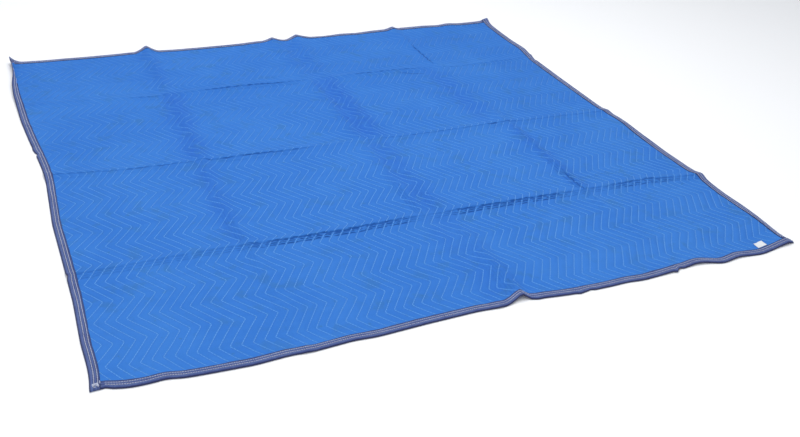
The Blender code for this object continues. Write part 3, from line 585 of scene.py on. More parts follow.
def buildCloth():
    # one closed sheet: the quilted top on a grid that follows the stitched rows, the cut edge,
    # and a plainer underside with every fourth column
    limitX = halfWidth - quilting["inset"]
    pitches = np.arange(-4, 78)
    starts = quilting["firstApex"][0] + quilting["pitch"] * pitches
    columns = (starts[:, None] + quilting["pitch"] * np.array(quilting["columns"])).ravel()
    levels, bends = levelsAlong()
    x, number = weldGrid(columns, levels, limitX)
    y = np.broadcast_to(levels[:, None], x.shape)
    topX, topY = layOutline(x, y)
    points = [np.stack([topX, topY, topHeight(x, y)], -1).reshape(-1, 3)]
    plans = [np.stack([x, y], -1).reshape(-1, 2)]
    faces = [gridTriangles(number)]

    # the ring round the top, and the same ring below it
    def gridSides(grid):
        return {"front": grid[0], "right": grid[:, -1], "back": grid[-1, ::-1],
                "left": grid[::-1, 0]}

    def unique(row):
        return row[np.concatenate([[True], row[1:] != row[:-1]])]
    ring = {name: unique(row) for name, row in gridSides(number).items()}
    lower = {}
    count = x.size
    loop = np.concatenate([ring[name][:-1] for name in ("front", "right", "back", "left")])
    below = np.arange(len(loop)) + count
    ringPlan = plans[0][loop]
    laidX, laidY = layOutline(ringPlan[:, 0], ringPlan[:, 1])
    laidZ = clothLift(ringPlan[:, 0], ringPlan[:, 1]) + cloth["marginBottom"]
    points.append(np.stack([laidX, laidY, laidZ], -1))
    plans.append(ringPlan)
    ahead, belowAhead = np.roll(loop, -1), np.roll(below, -1)
    faces.append(np.stack([loop, below, belowAhead], -1))
    faces.append(np.stack([loop, belowAhead, ahead], -1))
    start = 0
    for name in ("front", "right", "back", "left"):
        places = (start + np.arange(len(ring[name]))) % len(loop)
        lower[name] = below[places]
        start += len(ring[name]) - 1
    count += len(loop)

    # the underside, coarser, with its own stitched rows and puffs
    innerX = halfWidth - quilting["underInset"]
    innerY = halfDepth - quilting["underInset"]
    coarseLevels = [bends + quilting["run"] * share for share in (0, 0.5)]
    coarseLevels = np.sort(np.concatenate(coarseLevels))
    coarseLevels = coarseLevels[np.abs(coarseLevels) < innerY - 0.006]
    coarseLevels = np.concatenate([[-innerY], coarseLevels, [innerY]])
    coarseColumns = (starts[:, None] + quilting["pitch"] * np.array([0.0, 0.5])).ravel()
    underX, underNumber = weldGrid(coarseColumns, coarseLevels, innerX)
    underY = np.broadcast_to(coarseLevels[:, None], underX.shape)
    laidX, laidY = layOutline(underX, underY)
    between = np.abs(2 * rowPhase(underX, underY) - 1)
    laidZ = clothLift(underX, underY) + quilting["underPuff"] * between ** quilting["fullness"]
    points.append(np.stack([laidX, laidY, laidZ], -1).reshape(-1, 3))
    plans.append(np.stack([underX, underY], -1).reshape(-1, 2))
    faces.append(gridTriangles(underNumber + count)[:, ::-1])
    inner = {name: unique(row + count) for name, row in gridSides(underNumber).items()}
    allPlans = np.concatenate(plans)
    for name, axis in (("front", 0), ("right", 1), ("back", 0), ("left", 1)):
        direction = 1 if name in ("front", "right") else -1
        outerAt = direction * allPlans[lower[name], axis]
        innerAt = direction * allPlans[inner[name], axis]
        faces.append(zipRows(lower[name], outerAt, inner[name], innerAt)[:, ::-1])

    piece, used = newMesh("quiltedCloth", np.concatenate(points), np.concatenate(faces))
    plan = allPlans[used]
    setUv(piece.data, "plan", plan)
    (crossOffset, crossSharpness), (longOffset, longSharpness) = creaseFields(plan[:, 0], plan[:, 1])
    setVectors(piece.data, "crossCrease", np.stack([crossOffset, plan[:, 0], crossSharpness], -1))
    setVectors(piece.data, "longCrease", np.stack([longOffset, plan[:, 1], longSharpness], -1))
    phase = np.minimum(rowPhase(plan[:, 0], plan[:, 1]), 1 - rowPhase(plan[:, 0], plan[:, 1]))
    setVectors(piece.data, "quilting", np.stack([phase * quilting["pitch"],
                                                 foldBandShade(plan[:, 0], plan[:, 1]),
                                                 np.zeros(len(plan))], -1))
    return piece


quiltedCloth = buildCloth()
print("cloth laid:", len(quiltedCloth.data.polygons), "triangles")


def sewStitches(name, starts, ends, ups, width, rise, stops=(0.24, 0.76)):
    # each stitch is a pointed bar with a three-sided section: its two tips, and at each stop
    # along it a left foot, a right foot and a crown
    run = ends - starts
    length = np.linalg.norm(run, axis=1, keepdims=True)
    run = run / length
    aside = np.cross(ups, run)
    aside /= np.linalg.norm(aside, axis=1, keepdims=True)
    corners = [starts]
    shape = [(0, 2, 1), (0, 3, 2), (0, 1, 3)]
    for number, share in enumerate(stops):
        middle = starts + run * length * share
        corners += [middle + aside * width / 2, middle - aside * width / 2, middle + ups * rise]
        a, b, c = 1 + 3 * number, 2 + 3 * number, 3 + 3 * number
        if share != stops[-1]:
            shape += [(a, b, b + 3), (a, b + 3, a + 3), (b, c, c + 3), (b, c + 3, b + 3),
                      (c, a, a + 3), (c, a + 3, c + 3)]
        else:
            shape += [(c + 1, a, b), (c + 1, b, c), (c + 1, c, a)]
    corners.append(ends)
    points = np.stack(corners, axis=1).reshape(-1, 3)
    faces = (np.arange(len(starts))[:, None, None] * len(corners) + np.array(shape)).reshape(-1, 3)
    piece, _ = newMesh(name, points, faces)
    along = np.concatenate([[0], np.repeat(stops, 3), [1]])
    aroundIt = np.concatenate([[0.5], np.tile([0.0, 1.0, 0.5], len(stops)), [0.5]])
    uv = np.stack([(along[None] * length).ravel(), np.tile(aroundIt, len(starts))], -1)
    setUv(piece.data, "thread", uv)
    return piece


thread = {
    "stitchesPerLeg": 12,
    "cover": 0.94,        # share of each stitch that shows
    "stops": (0.16, 0.84),
    "width": 0.0018,
    "rise": 0.0009,
    "jitter": 0.0003}


def quiltStitches():
    # plan places of every stitch's two ends, along all the zigzag rows, inside the bindings
    rng = np.random.default_rng(7)
    legs = np.arange(-3, 23)
    places = np.arange(thread["stitchesPerLeg"]) / thread["stitchesPerLeg"]
    legPlaces = (legs[:, None] + places[None]).ravel()
    gap = (1 - thread["cover"]) / 2 / thread["stitchesPerLeg"]
    step = 1 / thread["stitchesPerLeg"]
    rows = quilting["firstApex"][0] + quilting["pitch"] * np.arange(-4, 78)
    ends = []
    for share in (gap, step - gap):
        level = quilting["firstApex"][1] + quilting["run"] * (legPlaces + share)
        y = np.broadcast_to(level[None], (len(rows), len(level)))
        # the bends stray along the rows as well, so y goes with them before x is read
        y = y - rowWander(rows[:, None] + zigzagShift(y), y)[1]
        x = onRow(rows[:, None], y) + rng.normal(0, thread["jitter"], y.shape)
        ends.append(np.stack([x.ravel(), y.ravel()], -1))
    start, end = ends
    border = quilting["bindingWidth"] - 0.001
    inside = np.ones(len(start), bool)
    for point in ends:
        inside &= (np.abs(point[:, 0]) < halfWidth - border)
        inside &= (np.abs(point[:, 1]) < halfDepth - border)
        onLabel = np.abs(point[:, 0] - label["middleX"]) < label["width"] / 2 + 0.002
        onLabel &= point[:, 1] < -halfDepth + quilting["bindingWidth"] + label["depth"] + 0.004
        inside &= ~onLabel
    # in the sharp creases the threads sink out of sight
    (offset, sharpness), _ = creaseFields((start[:, 0] + end[:, 0]) / 2, (start[:, 1] + end[:, 1]) / 2)
    inside &= ~((sharpness > 0.45) & (np.abs(offset + 0.0045) < 0.0030))
    # and in the shaded bands beside the folds, where the cloth sinks, most of them are left out
    hidden = foldBandShade(start[:, 0], start[:, 1]) > rng.uniform(0.18, 0.60, len(start))
    inside &= ~(hidden & (softNoise(start[:, 0], start[:, 1], 0.06, 71) > -0.3))
    return start[inside], end[inside]


def surfaceFrame(plan, height):
    # laid place of plan points on a surface, and its direction up from neighbouring heights
    x, y = plan[:, 0], plan[:, 1]
    laidX, laidY = layOutline(x, y)
    step = 0.004
    slopeX = (clothLift(x + step, y) - clothLift(x - step, y)) / (2 * step)
    slopeY = (clothLift(x, y + step) - clothLift(x, y - step)) / (2 * step)
    up = np.stack([-slopeX, -slopeY, np.ones(len(x))], -1)
    up /= np.linalg.norm(up, axis=1, keepdims=True)
    return np.stack([laidX, laidY, height(x, y)], -1), up


def buildQuiltingThreads():
    start, end = quiltStitches()
    lowTop, up = surfaceFrame(start, topHeight)
    highTop, _ = surfaceFrame(end, topHeight)
    middle, _ = surfaceFrame((start + end) / 2, topHeight)
    lift = np.maximum(middle[:, 2] - (lowTop[:, 2] + highTop[:, 2]) / 2, 0)[:, None]
    lowTop += up * (lift + 0.0001)
    highTop += up * (lift + 0.0001)
    threads = []
    front = start[:, 1] < 0
    for name, half in (("frontQuiltingThread", front), ("backQuiltingThread", ~front)):
        threads.append(sewStitches(name, lowTop[half], highTop[half], up[half], thread["width"],
                                   thread["rise"], thread["stops"]))

    def under(x, y):
        return clothLift(x, y) + quilting["underPuff"] - 0.0001
    lowUnder, up = surfaceFrame(start, under)
    highUnder, _ = surfaceFrame(end, under)
    threads.append(sewStitches("underQuiltingThread", highUnder, lowUnder, -up, thread["width"],
                               thread["rise"], stops=(0.5,)))
    return threads


quiltingThreads = buildQuiltingThreads()
print("quilting sewn:", [len(piece.data.polygons) for piece in quiltingThreads], "triangles")

# binding tape, folded round the cut edge and sewn down in two rows
tape = {
    "shown": {"left": 0.0232, "back": 0.0218, "right": 0.0258, "front": 0.0205},  # upper wings
    "bothWings": 0.0440,
    "thickness": 0.0010,
    "over": 0.0013,            # how far the fold stands out past the cut edge
    "foldHeight": 0.0034,
    "height": 0.0056,          # past the share of the wing where it has risen to the cloth's
    "risen": 0.34,
    "spacing": 0.0042,         # between its sections
    "endGap": 0.0003,
    "seams": (0.42, 0.77),     # the two sewn rows, as shares of a wing in from the cut edge
    "seamDip": 0.0008,
    "seamWidth": 0.070,
    "crown": 0.0006,
    "flatWidth": 0.051}

# each side: where it starts, the way it runs, the way in from its edge, its length and the side
# that covers its far corner
sides = {
    "left": ((-halfWidth, -halfDepth), (0, 1), (1, 0), cloth["depth"], "back"),
    "back": ((-halfWidth, halfDepth), (1, 0), (0, -1), cloth["width"], "right"),
    "right": ((halfWidth, halfDepth), (0, -1), (-1, 0), cloth["depth"], "front"),
    "front": ((halfWidth, -halfDepth), (-1, 0), (0, 1), cloth["width"], "left")}

# small steps in the tape's outer edge: (side, plan place along it, distance out, reach)
edgeNicks = [
    ("front", -0.981, -0.0025, 0.008), ("front", 0.250, 0.0030, 0.010),
    ("front", 0.284, -0.0030, 0.009), ("front", 0.572, 0.0055, 0.006),
    ("front", 0.590, -0.0035, 0.009), ("left", -0.487, -0.0030, 0.006),
    ("left", 0.183, -0.0045, 0.008), ("left", 0.215, 0.0020, 0.010),
    ("right", 0.485, -0.0030, 0.008), ("right", 0.530, 0.0030, 0.010),
    ("back", -0.527, 0.0020, 0.010)]


def wingWidths(side):
    # upper and lower wing of a side's tape, which share its width
    upper = tape["shown"][side]
    return upper, tape["bothWings"] - upper


def sidePlan(side, along, inward):
    start, run, into = sides[side][:3]
    return tuple(start[axis] + run[axis] * along + into[axis] * inward for axis in (0, 1))


def tapeSurface(side, along, inward, above):
    # laid place over the side: the lift runs straight from the cut edge to the hinge, and then
    # follows the cloth a few millimetres further
    inside = np.clip(along, 0, sides[side][3])
    hinge, beyond = cloth["hinge"], 0.004
    edge, bend, past = (clothLift(*sidePlan(side, inside, np.full_like(inside, place)))
                        for place in (0.0, hinge, hinge + beyond))
    x, y = sidePlan(side, along, inward)
    laidX, laidY = layOutline(x, y)
    share = np.clip(inward / hinge, -0.05, 1)
    lift = edge + (bend - edge) * share + (past - bend) * np.clip((inward - hinge) / beyond, 0, 1)
    into = np.array(sides[side][2])
    place = y if side in ("left", "right") else x
    for name, middle, out, reach in edgeNicks:
        if name == side:
            pull = out * np.exp(-((place - middle) / reach) ** 2) * (1 - share)
            laidX = laidX - into[0] * pull
            laidY = laidY - into[1] * pull
    return np.stack([laidX, laidY, np.maximum(lift, 0) + above], -1)


def wingTop(share):
    # height of the upper wing's outer face: low at the fold, and risen to the cloth's further in
    t = np.clip(share / tape["risen"], 0, 1)
    return tape["foldHeight"] + (tape["height"] - tape["foldHeight"]) * t * (2 - t)


def tapeProfile(side):
    # outer line of the folded section from the lower inner edge round the fold to the upper
    # inner edge, then the inner line back: places in from the cut edge and heights
    upperWing, lowerWing = wingWidths(side)
    t = tape["thickness"]
    r = tape["foldHeight"] / 2
    centre = r - tape["over"]
    lowerAt = lowerWing * np.array([1, 0.90, 0.80, 0.77, 0.73, 0.60, 0.46, 0.42, 0.38, 0.20])
    angles = np.radians(np.linspace(-90, -270, 9))
    fold = np.stack([centre + r * np.cos(angles), r + r * np.sin(angles)], -1)
    shares = np.array([0.09, 0.16, 0.24, 0.31, 0.36, 0.39, 0.42, 0.45, 0.50, 0.58, 0.66, 0.71,
                       0.74, 0.77, 0.80, 0.88, 0.95])
    outer = np.concatenate([
        np.stack([lowerAt, np.zeros(len(lowerAt))], -1), fold,
        np.stack([upperWing * shares, wingTop(shares)], -1),
        [(upperWing, tape["height"] - 0.0003)]])
    inside = angles[::-2]
    inFold = np.stack([centre + (r - t) * np.cos(inside), r + (r - t) * np.sin(inside)], -1)
    inner = np.concatenate([
        [(upperWing * share, wingTop(share) - t) for share in (1, 0.80, 0.40, 0.18)], inFold,
        [(lowerWing * share, t) for share in (0.40, 0.86, 1)]])
    return outer, inner


def buildTape(side):
    # profile carried along the side; the fold's end is rounded where it covers the corner, and
    # the wings dip along the seams and swell between them, a little unevenly
    outer, inner = tapeProfile(side)
    profile = np.concatenate([outer, inner])
    isOuter = np.arange(len(profile)) < len(outer)
    fold = tape["foldHeight"]
    upper = profile[:, 1] > fold / 2
    wing = np.where(upper, *wingWidths(side))
    # each wing runs up to the same wing of the tape that covers the far corner
    length, covering = sides[side][3:]
    first = -tape["over"]
    last = length - np.where(upper, *wingWidths(covering)) - tape["endGap"]
    rounded = fold / 2 * (1 - np.cos(np.radians([0, 15, 32, 50, 70, 90])))
    count = int((length - first) / tape["spacing"])
    even = np.linspace(rounded[-1] + 0.002, length, count)
    stations = np.concatenate([rounded, even]) / length
    along = first + stations[:, None] * (last - first)[None]
    inward = np.broadcast_to(profile[None, :, 0], along.shape)
    above = np.broadcast_to(profile[None, :, 1], along.shape)
    across = inward / wing
    seed = list(sides).index(side) * 10
    firstSeam, secondSeam = tape["seams"]
    dips = sum(np.exp(-((across - seam) / tape["seamWidth"]) ** 2) for seam in tape["seams"])
    between = np.clip((across - firstSeam) / (secondSeam - firstSeam), 0, 1)
    before = np.clip(across / firstSeam, 0, 1)
    crowns = np.sin(between * np.pi) ** 2 + 0.8 * np.sin(before * np.pi) ** 2
    pucker = softNoise(along, inward, 0.016, 31 + seed) * 0.00020
    pucker = pucker + softNoise(along, inward * 0.4, 0.045, 32 + seed) * 0.00028
    swell = -tape["seamDip"] * dips + tape["crown"] * crowns + pucker * (across > 0.1)
    wings = np.where(upper, swell, np.maximum(-0.6 * swell, 0))
    above = above + np.where(isOuter[None], wings, np.minimum(0, swell) * upper)
    # the inner edges of both wings wander a little
    edge = np.clip((across - secondSeam) / (1 - secondSeam), 0, 1)
    wander = 0.0006 * softNoise(along, 0 * along, 0.05, 33 + seed)
    wander = wander + 0.0011 * softNoise(along, 0 * along, 0.31, 34 + seed)
    inward = inward + edge * wander
    turned = np.clip((along - first) / (fold / 2), 0, 1)
    flat = np.sqrt(np.clip(1 - (1 - turned) ** 2, 0.01, 1))
    above = fold / 2 + (above - fold / 2) * flat
    # and in plan the covered corner is rounded as well
    corner = fold / 2 * (1 - flat)
    inward = np.maximum(inward, -tape["over"] + corner)
    points = tapeSurface(side, along.ravel(), inward.ravel(), above.ravel())
    rows, size = along.shape
    number = np.arange(rows * size).reshape(rows, size)
    number = np.concatenate([number, number[:, :1]], axis=1)
    a, b, c, d = number[:-1, :-1], number[:-1, 1:], number[1:, 1:], number[1:, :-1]
    quads = np.stack([a, b, c, d], -1).reshape(-1, 4)
    # caps at both ends, between the outer and the inner line
    capOuter = np.arange(len(outer))
    capInner = len(outer) + np.arange(len(inner))[::-1]
    cap = zipRows(capOuter, np.linspace(0, 1, len(outer)),
                  capInner, np.linspace(0, 1, len(inner)))
    endCap = cap + (rows - 1) * size
    triangles = np.concatenate([quads[:, [0, 1, 2]], quads[:, [0, 2, 3]], cap[:, ::-1], endCap])
    piece, used = newMesh("tape_" + side, points, triangles)
    ensureOutward(piece)
    profileAt = np.cumsum(np.concatenate([[0], np.linalg.norm(np.diff(profile, axis=0), axis=1)]))
    uv = np.stack([along.ravel(), np.tile(profileAt, rows)], -1)[used]
    setUv(piece.data, "tape", uv)
    place = np.stack([across.ravel(), along.ravel(), above.ravel()], -1)
    setVectors(piece.data, "tapePlace", place[used])
    return piece


def ensureOutward(piece):
    # turns the faces round if the mesh's signed volume is negative
    mesh = piece.data
    co = np.empty(len(mesh.vertices) * 3)
    mesh.vertices.foreach_get("co", co)
    co = co.reshape(-1, 3)
    tri = np.empty(len(mesh.loops), dtype=np.int32)
    mesh.loops.foreach_get("vertex_index", tri)
    tri = tri.reshape(-1, 3)
    volume = np.einsum("ij,ij->i", co[tri[:, 0]], np.cross(co[tri[:, 1]], co[tri[:, 2]])).sum()
    print("  signed volume of", piece.name, round(volume / 6 * 1e6, 2), "cm3")
    if volume < 0:
        mesh.flip_normals()


tapes = {side: buildTape(side) for side in sides}
ensureOutward(quiltedCloth)
print("tapes folded:", [len(piece.data.polygons) for piece in tapes.values()])


tapeThread = {
    "stitch": 0.0056,
    "width": 0.0024,
    "rise": 0.0010,
    "stops": (0.14, 0.86),
    "knotStitches": 26}


def tapeStitches(side):
    # two rows of stitches on the upper wing and the same two below, in the seams' dips
    rng = np.random.default_rng(40 + list(sides).index(side))
    length = sides[side][3]
    step, gap = tapeThread["stitch"], 0.0002
    starts, ends, ups = [], [], []
    along = np.arange(0.004, length - tape["shown"]["left"] - 0.004 - step, step)
    for seam in tape["seams"]:
        wander = 0.0005 * softNoise(along, 0 * along, 0.12, 50 + int(seam * 100))
        heights = (wingTop(seam) - 0.8 * tape["seamDip"], 0.00045)
        for wing, above, up in zip(wingWidths(side), heights, (1, -1)):
            jitter = rng.normal(0, 0.0002, along.shape)
            inward = seam * wing + wander
            low = tapeSurface(side, along + gap, inward + jitter, above + 0 * along)
            high = tapeSurface(side, along + step - gap, inward - jitter, above + 0 * along)
            if up < 0:
                low, high = high, low
            starts.append(low)
            ends.append(high)
            ups.append(np.tile([0.0, 0.0, float(up)], (len(along), 1)))
    if side == "left":
        # a clump of back-stitches where the tape is fastened over the front corner
        count = tapeThread["knotStitches"]
        a = rng.normal((0.012, 0.013), (0.0045, 0.0038), (count, 2))
        turn = rng.normal(0.35, 1.1, count)
        reach = rng.uniform(0.003, 0.007, count)
        b = a + np.stack([np.cos(turn), np.sin(turn)], -1) * reach[:, None]
        a, b = (np.clip(place, 0.0015, 0.0225) for place in (a, b))
        wing = wingWidths(side)[0]
        over = rng.uniform(-0.0001, 0.0007, count)
        starts.append(tapeSurface(side, a[:, 0], a[:, 1], wingTop(a[:, 1] / wing) + over))
        ends.append(tapeSurface(side, b[:, 0], b[:, 1], wingTop(b[:, 1] / wing) + over))
        ups.append(np.tile([0.0, 0.0, 1.0], (count, 1)))
    starts, ends, ups = (np.concatenate(part) for part in (starts, ends, ups))
    return sewStitches("tapeThread_" + side, starts, ends, ups, tapeThread["width"],
                       tapeThread["rise"], tapeThread["stops"])


tapeThreads = {side: tapeStitches(side) for side in sides}
print("tapes sewn")


def buildLabel():
    # small closed sheet on a grid: level along its sewn near side, and lifting a little towards
    # its free corners
    count = (25, 15)
    u, v = np.meshgrid(np.linspace(-1, 1, count[0]), np.linspace(0, 1, count[1]))
    x = label["middleX"] + u * label["width"] / 2 * (1 - 0.01 * v)
    near = -halfDepth + quilting["bindingWidth"] + label["gap"]
    y = near + v * label["depth"] + 0.0006 * np.sin(2.2 * u + 0.4) * v
    bow = 0.0009 * v * v * (0.4 + u * u) + 0.0004 * np.sin(u * 5) * v
    flat = clothLift(x, y) + label["standOff"] + bow
    laidX, laidY = layOutline(x, y)
    top = np.stack([laidX, laidY, flat + label["thickness"]], -1).reshape(-1, 3)
    bottom = np.stack([laidX, laidY, flat], -1).reshape(-1, 3)
    number = np.arange(u.size).reshape(u.shape)
    faces = [gridTriangles(number), gridTriangles(number)[:, ::-1] + u.size]
    loop = np.concatenate([number[0, :-1], number[:-1, -1], number[-1, :0:-1], number[:0:-1, 0]])
    ahead = np.roll(loop, -1)
    faces.append(np.stack([loop, loop + u.size, ahead + u.size], -1))
    faces.append(np.stack([loop, ahead + u.size, ahead], -1))
    piece, used = newMesh("careTag", np.concatenate([top, bottom]), np.concatenate(faces))
    plan = np.stack([x, y], -1).reshape(-1, 2)
    setUv(piece.data, "plan", np.concatenate([plan, plan])[used])
    ensureOutward(piece)
    return piece


careTag = buildLabel()
print("label laid")


# materials

def put(tree, kind, inputs=(), **settings):
    # one node, its settings, and its inputs by number or name, each a value or another's output
    made = tree.nodes.new(kind)
    for name, value in settings.items():
        setattr(made, name, value)
    for name, value in dict(inputs).items():
        if isinstance(value, bpy.types.NodeSocket):
            tree.links.new(value, made.inputs[name])
        else:
            made.inputs[name].default_value = value
    return made


def calc(tree, operation, a, b=0.0, clamp=False):
    return put(tree, "ShaderNodeMath", {0: a, 1: b}, operation=operation, use_clamp=clamp).outputs[0]


def ramp(tree, value, low, high, toLow=0.0, toHigh=1.0):
    inputs = {"Value": value, "From Min": low, "From Max": high, "To Min": toLow, "To Max": toHigh}
    return put(tree, "ShaderNodeMapRange", inputs, interpolation_type="SMOOTHSTEP").outputs[0]


def blendColour(tree, share, a, b, mode="MIX"):
    made = put(tree, "ShaderNodeMix", {0: share, 6: a, 7: b}, data_type="RGBA", blend_type=mode)
    return made.outputs[2]


def noise(tree, vector, scale, detail=2.0, roughness=0.5, distortion=0.0):
    made = put(tree, "ShaderNodeTexNoise", {"Vector": vector, "Scale": scale, "Detail": detail,
                                            "Roughness": roughness, "Distortion": distortion})
    return made.outputs["Fac"]


def newGroup(name, inputs, outputs):
    group = bpy.data.node_groups.new(name, "ShaderNodeTree")
    for socketName, kind, value in inputs:
        socket = group.interface.new_socket(socketName, in_out="INPUT", socket_type=kind)
        if value is not None:
            socket.default_value = value
    for socketName, kind in outputs:
        group.interface.new_socket(socketName, in_out="OUTPUT", socket_type=kind)
    entry = group.nodes.new("NodeGroupInput")
    exit_ = group.nodes.new("NodeGroupOutput")
    return group, entry.outputs, exit_.inputs


def makeWeave():
    # plain weave: the product of two sine waves across each other, roughened by noise
    group, given, wanted = newGroup(
        "plainWeave",
        [("Vector", "NodeSocketVector", None), ("Threads", "NodeSocketFloat", 1400.0),
         ("Unevenness", "NodeSocketFloat", 0.4)],
        [("Height", "NodeSocketFloat"), ("Shade", "NodeSocketFloat")])
    split = put(group, "ShaderNodeSeparateXYZ", {0: given["Vector"]})
    wobble = calc(group, "MULTIPLY", noise(group, given["Vector"], 260.0), 5.0)
    waveX = calc(group, "ADD", calc(group, "MULTIPLY", split.outputs[0], given["Threads"]), wobble)
    waveY = calc(group, "ADD", calc(group, "MULTIPLY", split.outputs[1], given["Threads"]), wobble)
    product = calc(group, "MULTIPLY", calc(group, "SINE", waveX), calc(group, "SINE", waveY))
    fuzz = noise(group, given["Vector"], 900.0, detail=3.0, roughness=0.7)
    uneven = calc(group, "MULTIPLY", fuzz, given["Unevenness"])
    half = calc(group, "MULTIPLY", product, 0.5)
    group.links.new(calc(group, "ADD", half, uneven), wanted["Height"])
    group.links.new(ramp(group, calc(group, "ADD", half, uneven), -0.5, 1.0), wanted["Shade"])
    return group


def makeMottle():
    # patches: noise at two sizes, sharpened between two thresholds
    group, given, wanted = newGroup(
        "mottle",
        [("Vector", "NodeSocketVector", None), ("Scale", "NodeSocketFloat", 8.0),
         ("Low", "NodeSocketFloat", 0.45), ("High", "NodeSocketFloat", 0.65)],
        [("Mask", "NodeSocketFloat")])
    coarse = put(group, "ShaderNodeTexNoise", {"Vector": given["Vector"], "Scale": given["Scale"],
                                               "Detail": 4.0, "Roughness": 0.62})
    mapped = put(group, "ShaderNodeMapRange", {"Value": coarse.outputs["Fac"], "From Min": given["Low"],
                                               "From Max": given["High"]},
                 interpolation_type="SMOOTHSTEP")
    group.links.new(mapped.outputs[0], wanted["Mask"])
    return group


def makeTwist():
    # twisted yarn: slanted stripes along a thread's own UV map
    group, given, wanted = newGroup(
        "threadTwist",
        [("Vector", "NodeSocketVector", None), ("Turns", "NodeSocketFloat", 7000.0)],
        [("Height", "NodeSocketFloat")])
    split = put(group, "ShaderNodeSeparateXYZ", {0: given["Vector"]})
    wave = calc(group, "ADD", calc(group, "MULTIPLY", split.outputs[0], given["Turns"]),
                calc(group, "MULTIPLY", split.outputs[1], 5.0))
    group.links.new(calc(group, "MULTIPLY", calc(group, "SINE", wave), 0.5), wanted["Height"])
    return group


weaveGroup = makeWeave()
mottleGroup = makeMottle()
twistGroup = makeTwist()


def useGroup(tree, group, **inputs):
    made = tree.nodes.new("ShaderNodeGroup")
    made.node_tree = group
    for name, value in inputs.items():
        if isinstance(value, bpy.types.NodeSocket):
            tree.links.new(value, made.inputs[name])
        else:
            made.inputs[name].default_value = value
    return made.outputs


def newMaterial(name, roughness, sheen=0.0):
    made = bpy.data.materials.new(name)
    made.use_nodes = True
    shader = made.node_tree.nodes["Principled BSDF"]
    shader.inputs["Roughness"].default_value = roughness
    shader.inputs["Sheen Weight"].default_value = sheen
    shader.inputs["Specular IOR Level"].default_value = 0.25
    return made, made.node_tree, shader


clothFinish = {
    "blue": (0.030, 0.166, 0.560, 1),
    "paleBlue": (0.049, 0.218, 0.625, 1),
    # colour of the painted shade in the bands beside the folds and in the weave's hollows
    "shadeBlue": (0.018, 0.112, 0.510, 1),
    # colour of the painted shade in the creases and the fine crease strokes
    "creaseShadeBlue": (0.004, 0.062, 0.290, 1),
    "smudge": (0.040, 0.150, 0.310, 1),
    "threadHaze": (0.068, 0.245, 0.650, 1),
    # painted shade of fine creases off the folds: middle, half length, degrees, half width, darkness
    "strokes": [(0.568, -0.434, 0.070, 91, 0.0030, 0.80), (0.550, 0.635, 0.115, 91, 0.0040, 0.75),
                (0.428, 0.470, 0.055, -13, 0.0040, 0.60)],
    "roughness": 0.92,
    "sheen": 0.0,
    "threads": 1500.0,
    "bump": 0.0005}


def strokeMask(tree, plan, x, y, halfLength, degrees, halfThick, share):
    # painted shade of one short fine crease: its middle, half its length, the way it runs and how dark it
    # is
    turned = put(tree, "ShaderNodeMapping", {"Vector": plan, "Location": (x, y, 0),
                                             "Rotation": (0, 0, np.radians(degrees))},
                 vector_type="TEXTURE").outputs[0]
    wobble = calc(tree, "SUBTRACT", noise(tree, plan, 30.0), 0.5)
    place = put(tree, "ShaderNodeSeparateXYZ", {0: turned}).outputs
    across = calc(tree, "ABSOLUTE", calc(tree, "ADD", place[1], calc(tree, "MULTIPLY", wobble, 0.01)))
    along = calc(tree, "ABSOLUTE", place[0])
    line = ramp(tree, across, 0.3 * halfThick, halfThick, share, 0.0)
    return calc(tree, "MULTIPLY", line, ramp(tree, along, 0.6 * halfLength, halfLength, 1.0, 0.0))


